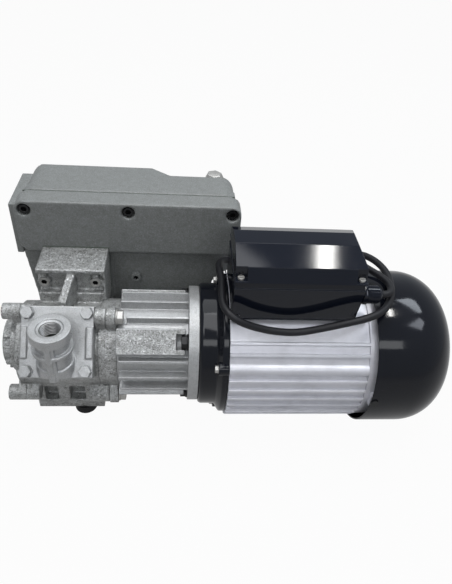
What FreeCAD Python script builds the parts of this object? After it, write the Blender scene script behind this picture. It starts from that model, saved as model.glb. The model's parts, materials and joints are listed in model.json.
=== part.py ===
import FreeCAD, Part
import math
import os
from types import SimpleNamespace

import Sketcher
from FreeCAD import Placement, Rotation, Vector

# Rotary vane vacuum pump with a flange-mounted motor and an oil box, in millimetres.
# Machine axes: X along the shaft from the motor flange joint towards the motor, Y to the rear, Z up.
# Every sub-part gets the same Placement, which puts the middle of the footprint at the origin.

doc = FreeCAD.newDocument("RotaryVacuumPump")
sheet = doc.addObject("Spreadsheet::Sheet", "Sizes")

DRIVING_SIZES = {
    # shaft line and fits
    "axis_height": 88.0,
    "running_gap": 0.05,
    "bolt_gap": 0.15,
    "seat_gap": 0.2,
    # pump cylinder
    "cylinder_length": 74.0,
    "barrel_radius": 43.5,
    "barrel_drop": 2.2,
    "bore_radius": 38.0,
    "rotor_radius": 32.5,
    "tangent_gap": 0.3,
    "end_plate_radius": 45.0,
    "end_flange_thick": 5.5,
    "end_step_radius": 31.0,
    "end_cover_thick": 13.0,
    "end_boss_radius": 24.0,
    "end_boss_height": 9.0,
    "drive_plate_thick": 18.0,
    "cover_bolt_circle": 51.0,
    "drive_bolt_circle": 54.0,
    "lug_radius": 8.0,
    "journal_radius": 12.0,
    "bearing_outer_radius": 16.0,
    "bearing_length": 14.0,
    "vane_thick": 5.0,
    "vane_height": 20.0,
    "vane_reach": 0.2,
    "sump_front": 24.0,
    "sump_bottom": 79.0,
    "sump_width": 70.0,
    # outlet block
    "block_width": 66.5,
    "block_shift": 7.5,
    "block_front": 18.0,
    "block_top": 79.0,
    "block_bottom": 26.0,
    "block_wall": 5.0,
    "rib_thick": 8.0,
    "block_post_radius": 6.4,
    "block_post_step": 1.5,
    "block_rib_reach": 24.5,
    "block_rib_foot": 57.5,
    "block_screw_height": 62.5,
    "block_screw_spacing": 50.0,
    "exhaust_hole_radius": 3.5,
    "exhaust_row": 35.0,
    "exhaust_pitch": 12.0,
    "valve_seat_height": 48.0,
    "leaf_length": 40.0,
    "leaf_width": 12.0,
    "leaf_thick": 0.5,
    # inlet
    "inlet_seat": 42.5,
    "gasket_thick": 1.0,
    "flange_plate_thick": 10.0,
    "flange_plate_side": 68.0,
    "flange_bolt_spacing": 55.0,
    "port_front": 52.2,
    "port_top": 69.0,
    "port_radius": 19.0,
    "port_neck_radius": 17.2,
    "port_thread_radius": 9.315,
    "port_thread_depth": 18.0,
    "port_recess_radius": 12.2,
    "port_recess_depth": 1.5,
    "valve_chamber_radius": 12.6,
    "valve_chamber_floor": 24.0,
    "valve_chamber_roof": 46.0,
    "valve_seat_radius": 8.0,
    "valve_disc_thick": 3.0,
    "valve_spring_radius": 7.5,
    "spring_wire": 1.2,
    "passage_radius": 8.5,
    # lantern and coupling
    "lantern_length": 80.0,
    "lantern_barrel_radius": 45.0,
    "lantern_bore_radius": 40.0,
    "lantern_fin_radius": 54.0,
    "lantern_fin_thick": 3.2,
    "lantern_pad_width": 25.0,
    "flange_radius": 60.0,
    "flange_thick": 10.5,
    "flange_pitch_radius": 50.0,
    "spigot_height": 3.0,
    "coupling_radius": 20.0,
    "coupling_gap": 12.0,
    "jaw_length": 10.0,
    "hub_length": 24.0,
    "shaft_radius": 9.5,
    # motor
    "shield_length": 28.0,
    "shield_drum_radius": 63.5,
    "shield_rim_radius": 71.5,
    "shield_rim_thick": 6.0,
    "frame_length": 135.0,
    "frame_radius": 72.0,
    "frame_fin_radius": 74.7,
    "frame_fin_thick": 3.0,
    "stator_radius": 66.0,
    "stator_bore": 38.5,
    "core_length": 85.0,
    "core_start": 50.0,
    "air_gap": 0.6,
    "winding_reach": 17.0,
    "tie_bolt_circle": 69.0,
    "tie_boss_radius": 6.5,
    "motor_bearing_radius": 23.5,
    "motor_bearing_bore": 10.0,
    "motor_bearing_width": 14.0,
    "tail_shield_thick": 13.0,
    "tail_shield_radius": 73.5,
    "cowl_radius": 80.7,
    "cowl_wall": 1.5,
    "cowl_dome": 47.0,
    "cowl_rim": 5.4,
    "motor_length": 257.0,
    "grille_radius": 31.0,
    "grille_slot": 3.4,
    "fan_radius": 62.0,
    "fan_start": 196.0,
    "fan_width": 24.0,
    # terminal box
    "terminal_start": 28.0,
    "terminal_length": 120.0,
    "terminal_bottom": 69.5,
    "terminal_joint": 109.0,
    "terminal_collar": 6.4,
    "terminal_collar_inset": 1.5,
    "terminal_shift": 3.5,
    "terminal_half_width": 38.0,
    "terminal_foot_half_width": 35.0,
    "terminal_wall": 2.6,
    "lid_shoulder": 129.0,
    "lid_top": 139.6,
    "lid_shoulder_half_width": 31.8,
    "lid_top_half_width": 10.3,
    "lid_notch": 10.5,
    "lid_notch_depth": 6.6,
    "gland_side": 31.0,
    "gland_height": 97.0,
    "gland_length": 19.5,
    "gland_radius": 9.0,
    "cable_diameter": 7.0,
    "capacitor_radius": 17.0,
    "capacitor_length": 84.0,
    # oil box
    "box_left": 184.0,
    "box_right": 41.0,
    "box_top": 131.0,
    "box_bottom": -72.0,
    "box_front": 58.0,
    "cover_depth": 23.0,
    "cover_step": 10.0,
    "cover_bulge_bottom": 72.0,
    "box_back": 136.5,
    "box_shallow_back": 121.0,
    "box_step_start": 5.7,
    "box_step_end": 20.0,
    "box_back_corner": 11.0,
    "box_flange_lip": 5.0,
    "box_wall": 5.0,
    "box_right_low": 51.0,
    "box_low_right": 16.0,
    "box_corner": 12.0,
    "filter_radius": 21.0,
    "filter_length": 114.0,
    "filter_inset": 12.3,
    "filter_axis_back": 109.0,
    "filter_axis_height": 96.0,
    "filter_cover_thick": 4.5,
    "exhaust_boss_height": 6.5,
    "exhaust_boss_radius": 17.0,
    "filler_back": 131.0,
    "filler_side": 15.5,
    "filler_boss_radius": 13.0,
    "filler_boss_top": 120.0,
    "float_radius": 12.0,
    "float_arm": 40.0,
    "sight_radius": 16.0,
    # feet
    "foot_radius": 12.0,
    "foot_side": 122.0,
    "foot_front": 14.0,
    "box_foot_radius": 13.0,
    "motor_foot_length": 10.0,
    "motor_foot_half_width": 18.0,
    # fasteners
    "cap_height": 1.6,
    "small_screw": 2.0,
    "medium_screw": 3.0,
    "large_screw": 4.0,
}


class Size:
    """A number together with the sheet formula that it comes from."""

    def __init__(self, formula, number):
        self.formula = formula
        self.number = number

    def __add__(self, other):
        other = as_size(other)
        return Size(f"({self.formula} + {other.formula})", self.number + other.number)

    def __sub__(self, other):
        other = as_size(other)
        return Size(f"({self.formula} - {other.formula})", self.number - other.number)

    def __mul__(self, other):
        other = as_size(other)
        return Size(f"({self.formula} * {other.formula})", self.number * other.number)

    def __truediv__(self, other):
        other = as_size(other)
        return Size(f"({self.formula} / {other.formula})", self.number / other.number)

    def __neg__(self):
        return Size(f"(0 - {self.formula})", -self.number)

    def __radd__(self, other):
        return as_size(other) + self

    def __rsub__(self, other):
        return as_size(other) - self

    def __rmul__(self, other):
        return as_size(other) * self


def as_size(value):
    """A plain number as a Size; a Size stays as it is."""
    return value if isinstance(value, Size) else Size(f"({value:.9f})", float(value))


for row, (alias, number) in enumerate(DRIVING_SIZES.items(), 1):
    sheet.set(f"A{row}", alias)
    sheet.set(f"B{row}", str(number))
    sheet.setAlias(f"B{row}", alias)
doc.recompute()
s = SimpleNamespace(**{alias: Size(f"Sizes.{alias}", number) for alias, number in DRIVING_SIZES.items()})

# Stations along the shaft
LANTERN_LEFT = -s.lantern_length
CYLINDER_RIGHT = LANTERN_LEFT - s.drive_plate_thick
CYLINDER_LEFT = CYLINDER_RIGHT - s.cylinder_length
END_COVER_LEFT = CYLINDER_LEFT - s.end_cover_thick
END_BOSS_LEFT = END_COVER_LEFT - s.end_boss_height
PUMP_MIDDLE = CYLINDER_RIGHT - s.cylinder_length / 2
FRAME_LEFT = s.shield_length
FRAME_RIGHT = s.shield_length + s.frame_length
TAIL_RIGHT = FRAME_RIGHT + s.tail_shield_thick
COWL_RIM = FRAME_RIGHT + s.cowl_rim
TERMINAL_RIGHT = s.terminal_start + s.terminal_length
ECCENTRICITY = s.bore_radius - s.rotor_radius - s.tangent_gap
EAR_SPLIT = CYLINDER_RIGHT + 8
COVER_BACK = s.box_front + s.cover_depth
COVER_STEP_Y = s.box_front + s.cover_step
HOUSING_FRONT = COVER_BACK + s.gasket_thick
HOUSING_LEFT = s.box_left - s.box_flange_lip
FILTER_START = -(s.box_left - s.filter_inset)
STEP_START = -(FILTER_START + s.filter_length + s.box_step_start)
STEP_END = STEP_START - s.box_step_end
EXHAUST_END = -(s.box_left + s.filter_cover_thick + s.exhaust_boss_height)
BLOCK_LEFT = PUMP_MIDDLE + s.block_shift - s.block_width / 2
BLOCK_RIGHT = BLOCK_LEFT + s.block_width
BLOCK_BACK = s.box_front - s.gasket_thick

# The origin is the middle of the footprint, on the standing plane
SHIFT_X = -(EXHAUST_END + s.motor_length) / 2
BACK_REACH = s.filler_back + s.filler_boss_radius
SHIFT_Y = (s.cowl_radius + s.cap_height - BACK_REACH) / 2

# The inlet seat is tilted about X: ALONG runs up its face, OUT is its normal
INLET_TILT = 46.0
ALONG = (math.cos(math.radians(INLET_TILT)), math.sin(math.radians(INLET_TILT)))
OUT = (-math.sin(math.radians(INLET_TILT)), math.cos(math.radians(INLET_TILT)))
TILTED = Rotation(Vector(1, 0, 0), INLET_TILT)

LEVEL = Rotation()
TO_X = Rotation(Vector(0, 1, 0), 90)
TO_MINUS_X = Rotation(Vector(0, 1, 0), -90)
TO_Y = Rotation(Vector(1, 0, 0), -90)
TO_MINUS_Y = Rotation(Vector(1, 0, 0), 90)
TO_MINUS_Z = Rotation(Vector(1, 0, 0), 180)
END_COVER_ANGLES = (99.0, 219.0, 339.0)
DRIVE_PLATE_ANGLES = (109.0, 229.0, 349.0)
MOTOR_FLANGE_ANGLES = (45.0, 135.0, 225.0, 315.0)
TIE_BOLT_ANGLES = (156.0, 246.0, 336.0, 66.0)
VANE_ANGLES = (180.0, 300.0, 60.0)
HEX_SIDES = 6

PARTS = []


def place(item, where, turn=LEVEL):
    """Puts an object at three sizes, each bound to the sheet."""
    sizes = [as_size(value) for value in where]
    item.Placement = Placement(Vector(*[value.number for value in sizes]), turn)
    for axis, value in zip("xyz", sizes):
        item.setExpression(f"Placement.Base.{axis}", value.formula)
    return item


def bind(item, **sizes):
    """Binds the named properties to sizes."""
    for name, value in sizes.items():
        value = as_size(value)
        setattr(item, name, value.number)
        item.setExpression(name, value.formula)
    return item


def box(low, high, turn=LEVEL):
    """A block between two corners, turned about its low corner."""
    item = doc.addObject("Part::Box", "Block")
    low = [as_size(value) for value in low]
    high = [as_size(value) for value in high]
    bind(item, Length=high[0] - low[0], Width=high[1] - low[1], Height=high[2] - low[2])
    return place(item, low, turn)


def rod(start, radius, length, turn=TO_X):
    """A cylinder from a start point along the turned Z axis."""
    item = doc.addObject("Part::Cylinder", "Rod")
    bind(item, Radius=radius, Height=length)
    return place(item, start, turn)


def cone(start, radius, end_radius, length, turn=TO_X):
    """A cone frustum from a start point along the turned Z axis."""
    item = doc.addObject("Part::Cone", "Cone")
    bind(item, Radius1=radius, Radius2=end_radius, Height=length)
    return place(item, start, turn)


def ring(start, outer, inner, length, turn=TO_X):
    """A tube from a start point along the turned Z axis."""
    return cut(rod(start, outer, length, turn), rod(start, inner, length, turn))


def hexagon(start, across_flats, height, turn=TO_X):
    """A hexagonal prism from a start point along the turned Z axis."""
    item = doc.addObject("Part::Prism", "Hexagon")
    item.Polygon = HEX_SIDES
    bind(item, Circumradius=across_flats * (1 / math.sqrt(3)), Height=height)
    return place(item, start, turn)


def frustum(low, high, top_low, top_high, bottom, top):
    """A block with sloping sides: rectangles in X and Y at two heights."""
    item = doc.addObject("Part::Wedge", "Frustum")
    bind(item, Xmin=low[0], Xmax=high[0], Zmin=-as_size(high[1]), Zmax=-as_size(low[1]))
    bind(item, X2min=top_low[0], X2max=top_high[0], Z2min=-as_size(top_high[1]), Z2max=-as_size(top_low[1]))
    bind(item, Ymin=bottom, Ymax=top)
    item.Placement = Placement(Vector(), TO_MINUS_Y)
    return item


def fuse(*pieces):
    """One solid from several that touch."""
    item = doc.addObject("Part::MultiFuse", "Joined")
    item.Shapes = list(pieces)
    return item


def cut(base, *tools):
    """A base without its tools."""
    item = doc.addObject("Part::Cut", "Shaped")
    item.Base = base
    item.Tool = tools[0] if len(tools) == 1 else fuse_all(tools)
    return item


def fuse_all(tools):
    """Several tools, touching or not, as one."""
    item = doc.addObject("Part::Compound", "Tools")
    item.Links = list(tools)
    return item


def common(base, tool):
    """What two pieces share."""
    item = doc.addObject("Part::Common", "Shared")
    item.Base = base
    item.Tool = tool
    return item


def group(*pieces):
    """Separate solids in one node."""
    return fuse_all(pieces)


def outline_body(name, plane, outline, start, length):
    """A body padded from an outline of straight edges, whose corners are bound to the sheet."""
    body = doc.addObject("PartDesign::Body", name)
    sketch = outline_sketch(body, plane, outline)
    bind_offset(sketch, start)
    pad = body.newObject("PartDesign::Pad", "Pad")
    pad.Profile = sketch
    bind(pad, Length=length)
    return body


def turned_body(name, outline):
    """A body revolved about the shaft axis from an outline of stations and radii."""
    body = doc.addObject("PartDesign::Body", name)
    sketch = outline_sketch(body, "XZ_Plane", outline)
    turn = body.newObject("PartDesign::Revolution", "Revolution")
    turn.Profile = sketch
    turn.ReferenceAxis = (sketch, ["H_Axis"])
    turn.Angle = 360
    return body


def bind_offset(sketch, start):
    """Moves a sketch along its plane's normal by a size."""
    start = as_size(start)
    sketch.AttachmentOffset = Placement(Vector(0, 0, start.number), LEVEL)
    sketch.setExpression("AttachmentOffset.Base.z", start.formula)


def outline_sketch(body, plane, outline):
    """A closed sketch of straight edges in one of the body's own planes."""
    sketch = body.newObject("Sketcher::SketchObject", "Outline")
    support = [feature for feature in body.Origin.OriginFeatures if feature.Role == plane][0]
    sketch.AttachmentSupport = (support, [""])
    sketch.MapMode = "FlatFace"
    corners = [(as_size(across), as_size(up)) for across, up in outline]
    count = len(corners)
    for index in range(count):
        here = Vector(corners[index][0].number, corners[index][1].number, 0)
        there = Vector(corners[(index + 1) % count][0].number, corners[(index + 1) % count][1].number, 0)
        sketch.addGeometry(Part.LineSegment(here, there))
    for index in range(count):
        sketch.addConstraint(Sketcher.Constraint("Coincident", index, 2, (index + 1) % count, 1))
    for index, corner in enumerate(corners):
        for kind, size in zip(("DistanceX", "DistanceY"), corner):
            number = sketch.addConstraint(Sketcher.Constraint(kind, -1, 1, index, 1, size.number))
            sketch.setExpression(f"Constraints[{number}]", size.formula)
    return sketch


def rounded(item, radius, chosen):
    """Rounds the edges that a test chooses."""
    doc.recompute()
    edges = [index for index, edge in enumerate(item.Shape.Edges, 1) if chosen(edge)]
    radius = as_size(radius)
    fillet = doc.addObject("Part::Fillet", "Rounded")
    fillet.Base = item
    fillet.Edges = [(index, radius.number, radius.number) for index in edges]
    return fillet


def along_y(edge):
    """True for a straight edge that runs front to back."""
    return runs_along(edge, 1)


def along_x(edge):
    """True for a straight edge that runs along the shaft."""
    return runs_along(edge, 0)


def runs_along(edge, axis):
    """True for a straight edge along one axis."""
    low, high = edge.Vertexes[0].Point, edge.Vertexes[-1].Point
    across = [abs(high[k] - low[k]) for k in range(3) if k != axis]
    return len(edge.Vertexes) == 2 and max(across) < 1e-6 and edge.Length > 1e-6


def around(radius, angle):
    """The Y and Z of a point at an angle about the shaft, from +Y towards +Z."""
    turn = math.radians(angle)
    radius = as_size(radius)
    return radius * math.cos(turn), radius * math.sin(turn)


def tilted(side, along, out):
    """A point in the tilted frame of the inlet seat."""
    along = as_size(along)
    out = as_size(out)
    return side, along * ALONG[0] + out * OUT[0], along * ALONG[1] + out * OUT[1]


def radial_rib(left, right, inner, outer, thick, angle, drop=0):
    """A flat rib along the shaft that stands radially at an angle, about an axis that may lie lower."""
    turn = Rotation(Vector(1, 0, 0), angle)
    item = doc.addObject("Part::Box", "Rib")
    left, right = as_size(left), as_size(right)
    inner, outer, thick = as_size(inner), as_size(outer), as_size(thick)
    bind(item, Length=right - left, Width=outer - inner, Height=thick)
    cosine, sine = math.cos(math.radians(angle)), math.sin(math.radians(angle))
    y = inner * cosine + thick * (sine / 2)
    z = inner * sine - thick * (cosine / 2) - drop
    return place(item, (left, y, z), turn)


def cover_place(angle):
    """The Y and Z of an end cover screw, on a circle about the barrel's own axis."""
    y, z = around(s.cover_bolt_circle, angle)
    return y, z - s.barrel_drop


def cover_lug(left, right, web_left, web_right, angle):
    """A screw lug of the end cover's circle with a web down to the barrel."""
    round_end = rod((left, *cover_place(angle)), s.lug_radius, right - left)
    web = radial_rib(web_left, web_right, s.end_step_radius - 1, s.cover_bolt_circle, s.lug_radius * 2, angle,
                     s.barrel_drop)
    return [round_end, web]


def drive_lug(left, right, grow, angle):
    """A bolt ear of the drive side with a web down to the barrel."""
    radius = s.lug_radius + grow
    round_end = rod((left, *around(s.drive_bolt_circle, angle)), radius, right - left)
    web = radial_rib(left, right, s.bore_radius + 2, s.drive_bolt_circle, radius * 2, angle)
    return [round_end, web]


def socket_screw(start, radius, length, turn):
    """A socket-head screw from under its head: the shank runs along the turned Z axis."""
    head_radius = radius * HEAD_WIDTH
    head = rod(start, head_radius, radius * 2, turn * TO_MINUS_Z)
    shank = rod(start, radius, length, turn)
    step = turn.multVec(Vector(0, 0, -1))
    top = [as_size(value) + radius * 2 * direction for value, direction in zip(start, step)]
    socket = hexagon(top, radius * 1.7, radius, turn)
    return cut(fuse(head, shank), socket)


def hex_bolt(start, radius, length, turn, head_turn):
    """A hex bolt from under its head, with a washer: the shank runs along the turned Z axis."""
    washer = rod(start, radius * 2, radius * 0.4, head_turn)
    step = head_turn.multVec(Vector(0, 0, 1))
    seat = [as_size(value) + radius * (0.4 * direction) for value, direction in zip(start, step)]
    head = hexagon(seat, radius * 3.25, radius * 1.35, head_turn)
    shank = rod(start, radius, length, turn)
    return fuse(washer, head, shank)


HEAD_WIDTH = 1.67
PRIMITIVES = ("Part::Box", "Part::Cylinder", "Part::Prism", "Part::Cone")


def sub_part(node, item):
    """Names a finished piece and puts it in the machine's own frame."""
    if item.TypeId in PRIMITIVES:
        item = group(item)
    item.Label = node
    place(item, (SHIFT_X, SHIFT_Y, s.axis_height))
    PARTS.append((node, item))


# Pump cylinder


def cylinder_housing():
    """The cylinder casting with its tilted inlet seat, outlet block, sump foot and bolt lugs."""
    barrel = rod((CYLINDER_LEFT, 0, -s.barrel_drop), s.barrel_radius, s.cylinder_length)
    half = s.flange_plate_side / 2
    seat = box(tilted(PUMP_MIDDLE - half, -half, s.barrel_radius / 2), tilted(0, 0, 0))
    bind(seat, Length=s.flange_plate_side, Width=s.flange_plate_side, Height=s.inlet_seat - s.barrel_radius / 2)
    seat.Placement.Rotation = TILTED
    block = box((BLOCK_LEFT, s.block_front, s.block_bottom), (BLOCK_RIGHT, BLOCK_BACK, s.block_top))
    sump = box((PUMP_MIDDLE - s.sump_width / 2, -s.sump_front, -s.sump_bottom),
               (PUMP_MIDDLE + s.sump_width / 2, s.sump_front, -s.barrel_radius / 2))
    lug_end = CYLINDER_LEFT + s.end_cover_thick
    lugs = [piece for angle in END_COVER_ANGLES
            for piece in cover_lug(CYLINDER_LEFT, lug_end, CYLINDER_LEFT, lug_end, angle)]
    ears = [piece for angle in DRIVE_PLATE_ANGLES
            for piece in drive_lug(CYLINDER_RIGHT - s.end_cover_thick, EAR_SPLIT, 1, angle)]
    casting = fuse(barrel, seat, block, sump, *lugs, *ears)
    plate_room = rod((CYLINDER_RIGHT, 0, 0), s.end_plate_radius + s.seat_gap, 30)
    flange_room = box(tilted(PUMP_MIDDLE - half - s.seat_gap, -half - 1, s.inlet_seat), tilted(0, 0, 0))
    bind(flange_room, Length=s.flange_plate_side + s.seat_gap * 2, Width=s.flange_plate_side + 1 + s.seat_gap,
         Height=40)
    flange_room.Placement.Rotation = TILTED
    bore = rod((CYLINDER_LEFT, 0, -ECCENTRICITY), s.bore_radius, s.cylinder_length)
    passage = rod(tilted(PUMP_MIDDLE, 0, 0), s.passage_radius, s.inlet_seat, TILTED)
    low_pocket = s.valve_seat_height + 2
    pocket_back = s.exhaust_row - s.leaf_width / 2 - 4
    rib_middle = BLOCK_LEFT + s.block_width / 2
    pockets = [
        box((BLOCK_LEFT - 1, s.block_front - 1, low_pocket),
            (rib_middle - s.rib_thick / 2, pocket_back, s.block_top - s.block_wall)),
        box((rib_middle + s.rib_thick / 2, s.block_front - 1, low_pocket),
            (BLOCK_RIGHT - s.block_wall / 2, pocket_back, s.block_top - s.block_wall)),
    ]
    posts = [rod((x, s.block_front + s.block_post_step, s.block_screw_height), s.block_post_radius,
                 pocket_back - s.block_front, TO_Y) for x in block_screw_places()]
    webs = [box((x - s.block_post_radius / 2, s.block_front + s.block_post_step, s.block_screw_height),
                (x + s.block_post_radius / 2, pocket_back + 1, s.block_top - s.block_wall + 1))
            for x in block_screw_places()]
    chamber = box((EXHAUST_MIDDLE - s.leaf_length / 2 - 3, pocket_back + 2, s.valve_seat_height),
                  (EXHAUST_MIDDLE + s.leaf_length / 2 + 3, BLOCK_BACK, s.block_top - s.block_wall))
    ports = [rod((x, s.exhaust_row, 0), s.exhaust_hole_radius, s.valve_seat_height, LEVEL)
             for x in exhaust_port_places()]
    screw_holes = [rod((x, s.block_front, s.block_screw_height), s.medium_screw + s.bolt_gap,
                       BLOCK_BACK - s.block_front, TO_Y) for x in block_screw_places()]
    screw_rooms = [rod((x, BLOCK_SCREW_SEAT, s.block_screw_height), s.medium_screw * HEAD_WIDTH + s.seat_gap,
                       BLOCK_SCREW_SEAT - s.block_front, TO_MINUS_Y) for x in block_screw_places()]
    cover_holes = [rod((CYLINDER_LEFT, *cover_place(angle)), s.medium_screw + s.bolt_gap, COVER_SCREW_REACH + 0.4)
                   for angle in END_COVER_ANGLES]
    drive_holes = [rod((EAR_SPLIT, *around(s.drive_bolt_circle, angle)), s.large_screw + s.bolt_gap,
                       DRIVE_BOLT_REACH + 0.4, TO_MINUS_X) for angle in DRIVE_PLATE_ANGLES]
    flange_holes = [rod(tilted(x, along, s.inlet_seat - 14), s.large_screw + s.bolt_gap, 14, TILTED)
                    for x, along in inlet_bolt_places()]
    stop_hole = rod((STOP_SCREW_X, s.exhaust_row, s.valve_seat_height - 8), s.small_screw + s.bolt_gap, 8, LEVEL)
    foot_hole = rod((-s.foot_side, -s.foot_front, -s.sump_bottom), s.medium_screw + s.bolt_gap, 12, LEVEL)
    casting = fuse(cut(casting, *pockets), *posts, *webs, block_rib(rib_middle))
    casting = cut(casting, bore, plate_room, flange_room, passage, chamber, *ports, *screw_holes, *screw_rooms,
                  *cover_holes, *drive_holes, *flange_holes, stop_hole, foot_hole)
    sub_part("cylinder_housing", casting)


def block_rib(middle):
    """The rib that leans from under the outlet block's roof down to the inlet seat."""
    roof = s.block_top - s.block_wall
    rib = outline_body("BlockRib", "YZ_Plane", [
        (3, roof + 0.5), (-1.5, roof - 0.8), (-s.block_rib_reach, s.block_rib_foot),
        (-s.block_rib_reach + 1.5, s.block_rib_foot - 7.5), (4, s.block_bottom + 10),
    ], -s.rib_thick / 2, s.rib_thick)
    return place(rib, (middle, s.block_front, 0), Rotation(Vector(0, 0, 1), BLOCK_RIB_TURN))


BLOCK_RIB_TURN = -15.0
BLOCK_SCREW_SEAT = s.block_front + s.block_post_step + s.medium_screw * 2
COVER_SCREW_REACH = 4.6
DRIVE_BOLT_REACH = 10.5


EXHAUST_MIDDLE = PUMP_MIDDLE + s.block_shift
STOP_SCREW_X = EXHAUST_MIDDLE - s.leaf_length / 2 + 3


def exhaust_port_places():
    """The X of each exhaust hole under the leaf."""
    return [EXHAUST_MIDDLE + s.exhaust_pitch * (step + 0.35) for step in (-1, 0, 1)]


def block_screw_places():
    """The X of the two screws through the outlet block."""
    middle = BLOCK_LEFT + s.block_width / 2 - 1.8
    return [middle - s.block_screw_spacing / 2, middle + s.block_screw_spacing / 2]


def inlet_bolt_places():
    """The X and the place along the seat of each inlet flange bolt."""
    half = s.flange_bolt_spacing / 2
    return [(PUMP_MIDDLE - half, -half), (PUMP_MIDDLE + half, -half),
            (PUMP_MIDDLE - half, half), (PUMP_MIDDLE + half, half)]


def end_cover():
    """The plate that closes the far end of the cylinder, with its bearing boss and ribs."""
    plate = rod((CYLINDER_LEFT, 0, -s.barrel_drop), s.barrel_radius, s.end_flange_thick, TO_MINUS_X)
    step = rod((END_COVER_LEFT, 0, 0), s.end_step_radius, s.end_cover_thick)
    boss = rod((END_BOSS_LEFT, 0, 0), s.end_boss_radius, s.end_boss_height + 1)
    lugs = [piece for angle in END_COVER_ANGLES
            for piece in cover_lug(COVER_LUG_LEFT, CYLINDER_LEFT, CYLINDER_LEFT - 8, CYLINDER_LEFT, angle)]
    ribs = [radial_rib(END_BOSS_LEFT + 2, END_COVER_LEFT + 1, s.end_boss_radius - 4, s.end_boss_radius + 4, 5, angle)
            for angle in END_RIB_ANGLES]
    bearing = rod((CYLINDER_LEFT - s.bearing_length - 1, 0, 0), s.bearing_outer_radius, s.bearing_length + 1)
    holes = [rod((COVER_LUG_LEFT, *cover_place(angle)), s.medium_screw + s.bolt_gap, s.end_cover_thick * 2)
             for angle in END_COVER_ANGLES]
    holes += [rod((COVER_LUG_LEFT, *cover_place(angle)), s.medium_screw * HEAD_WIDTH + s.bolt_gap, COVER_SCREW_RECESS)
              for angle in END_COVER_ANGLES]
    sub_part("end_cover", cut(fuse(plate, step, boss, *lugs, *ribs), bearing, *holes))


COVER_LUG_LEFT = END_COVER_LEFT - 4.5
COVER_SCREW_RECESS = s.medium_screw * 2 + 0.3
END_RIB_ANGLES = (124.0, 158.0, 192.0, 226.0, 304.0, 24.0)


def end_cover_screws():
    """Three socket-head screws that hold the end cover."""
    seat = COVER_LUG_LEFT + COVER_SCREW_RECESS
    screws = [socket_screw((seat, *cover_place(angle)), s.medium_screw, CYLINDER_LEFT + COVER_SCREW_REACH - seat, TO_X)
              for angle in END_COVER_ANGLES]
    sub_part("end_cover_screws", group(*screws))


def drive_end_plate():
    """The plate between cylinder and lantern, with the drive-side bearing and seal."""
    plate = rod((LANTERN_LEFT, 0, 0), s.end_plate_radius, s.drive_plate_thick, TO_MINUS_X)
    lugs = [piece for angle in DRIVE_PLATE_ANGLES for piece in drive_lug(EAR_SPLIT, LANTERN_LEFT - 1, 2, angle)]
    bearing = rod((CYLINDER_RIGHT, 0, 0), s.bearing_outer_radius, s.drive_plate_thick)
    holes = [rod((LANTERN_LEFT, *around(s.drive_bolt_circle, angle)), s.large_screw + s.bolt_gap,
                 s.drive_plate_thick, TO_MINUS_X) for angle in DRIVE_PLATE_ANGLES]
    inner_holes = [rod((LANTERN_LEFT, *around(LANTERN_SCREW_CIRCLE, angle)), s.medium_screw + s.bolt_gap,
                       12, TO_MINUS_X) for angle in MOTOR_FLANGE_ANGLES]
    sub_part("drive_end_plate", cut(fuse(plate, *lugs), bearing, *holes, *inner_holes))


LANTERN_SCREW_CIRCLE = s.lantern_bore_radius - 8


def drive_plate_bolts():
    """Three hex bolts with washers through the drive-side lugs into the cylinder."""
    start = LANTERN_LEFT - 1
    bolts = [hex_bolt((start, *around(s.drive_bolt_circle, angle)), s.large_screw,
                      start - EAR_SPLIT + DRIVE_BOLT_REACH, TO_MINUS_X, TO_X)
             for angle in DRIVE_PLATE_ANGLES]
    sub_part("drive_plate_bolts", group(*bolts))


def pump_rotor():
    """The slotted rotor with its journals and coupling end, in one piece."""
    side = s.running_gap
    left = CYLINDER_LEFT + side
    core = rod((left, 0, 0), s.rotor_radius, s.cylinder_length - side * 2)
    depth = s.rotor_radius - slot_floor()
    slots = []
    for angle in VANE_ANGLES:
        slots.append(radial_rib(left, CYLINDER_RIGHT - side, slot_floor(), slot_floor() + depth + 5,
                                s.vane_thick + s.running_gap * 2, angle))
    far_journal = rod((CYLINDER_LEFT - s.bearing_length, 0, 0), s.journal_radius, s.bearing_length + side)
    near_journal = rod((CYLINDER_RIGHT - side, 0, 0), s.journal_radius, s.drive_plate_thick + side + 2)
    nose_end = PUMP_SHAFT_END
    nose = rod((LANTERN_LEFT, 0, 0), s.shaft_radius, nose_end - LANTERN_LEFT)
    sub_part("pump_rotor", fuse(cut(core, *slots), far_journal, near_journal, nose))


def slot_floor():
    """The radius of the floor of a vane slot."""
    return s.rotor_radius - s.vane_height - s.vane_reach * 2 - 1


COUPLING_MIDDLE = -(s.shaft_radius * 4 + s.jaw_length / 2)
PUMP_SHAFT_END = COUPLING_MIDDLE - s.jaw_length / 2 - 3
MOTOR_SHAFT_END = COUPLING_MIDDLE + s.jaw_length / 2 + 2


def vane(number, angle):
    """One vane, drawn in flush with the rotor."""
    outer = s.rotor_radius - s.vane_reach
    blade = radial_rib(CYLINDER_LEFT + s.running_gap * 2, CYLINDER_RIGHT - s.running_gap * 2,
                       outer - s.vane_height, outer, s.vane_thick, angle)
    sub_part(f"vane_{number}", blade)


def pump_bearings():
    """Two sleeve bearings for the rotor journals."""
    bore = s.journal_radius + s.running_gap
    outer = s.bearing_outer_radius
    far = ring((CYLINDER_LEFT - s.bearing_length, 0, 0), outer, bore, s.bearing_length - 0.2)
    near = ring((CYLINDER_RIGHT + 0.2, 0, 0), outer, bore, s.drive_plate_thick * 0.5)
    sub_part("pump_bearings", group(far, near))


def shaft_seal():
    """The radial shaft seal beside the drive-side bearing."""
    start = CYLINDER_RIGHT + s.drive_plate_thick * 0.5 + 0.4
    sub_part("shaft_seal", ring((start, 0, 0), s.bearing_outer_radius, s.journal_radius + s.running_gap,
                                s.drive_plate_thick * 0.5 - 1))


# Inlet


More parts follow.
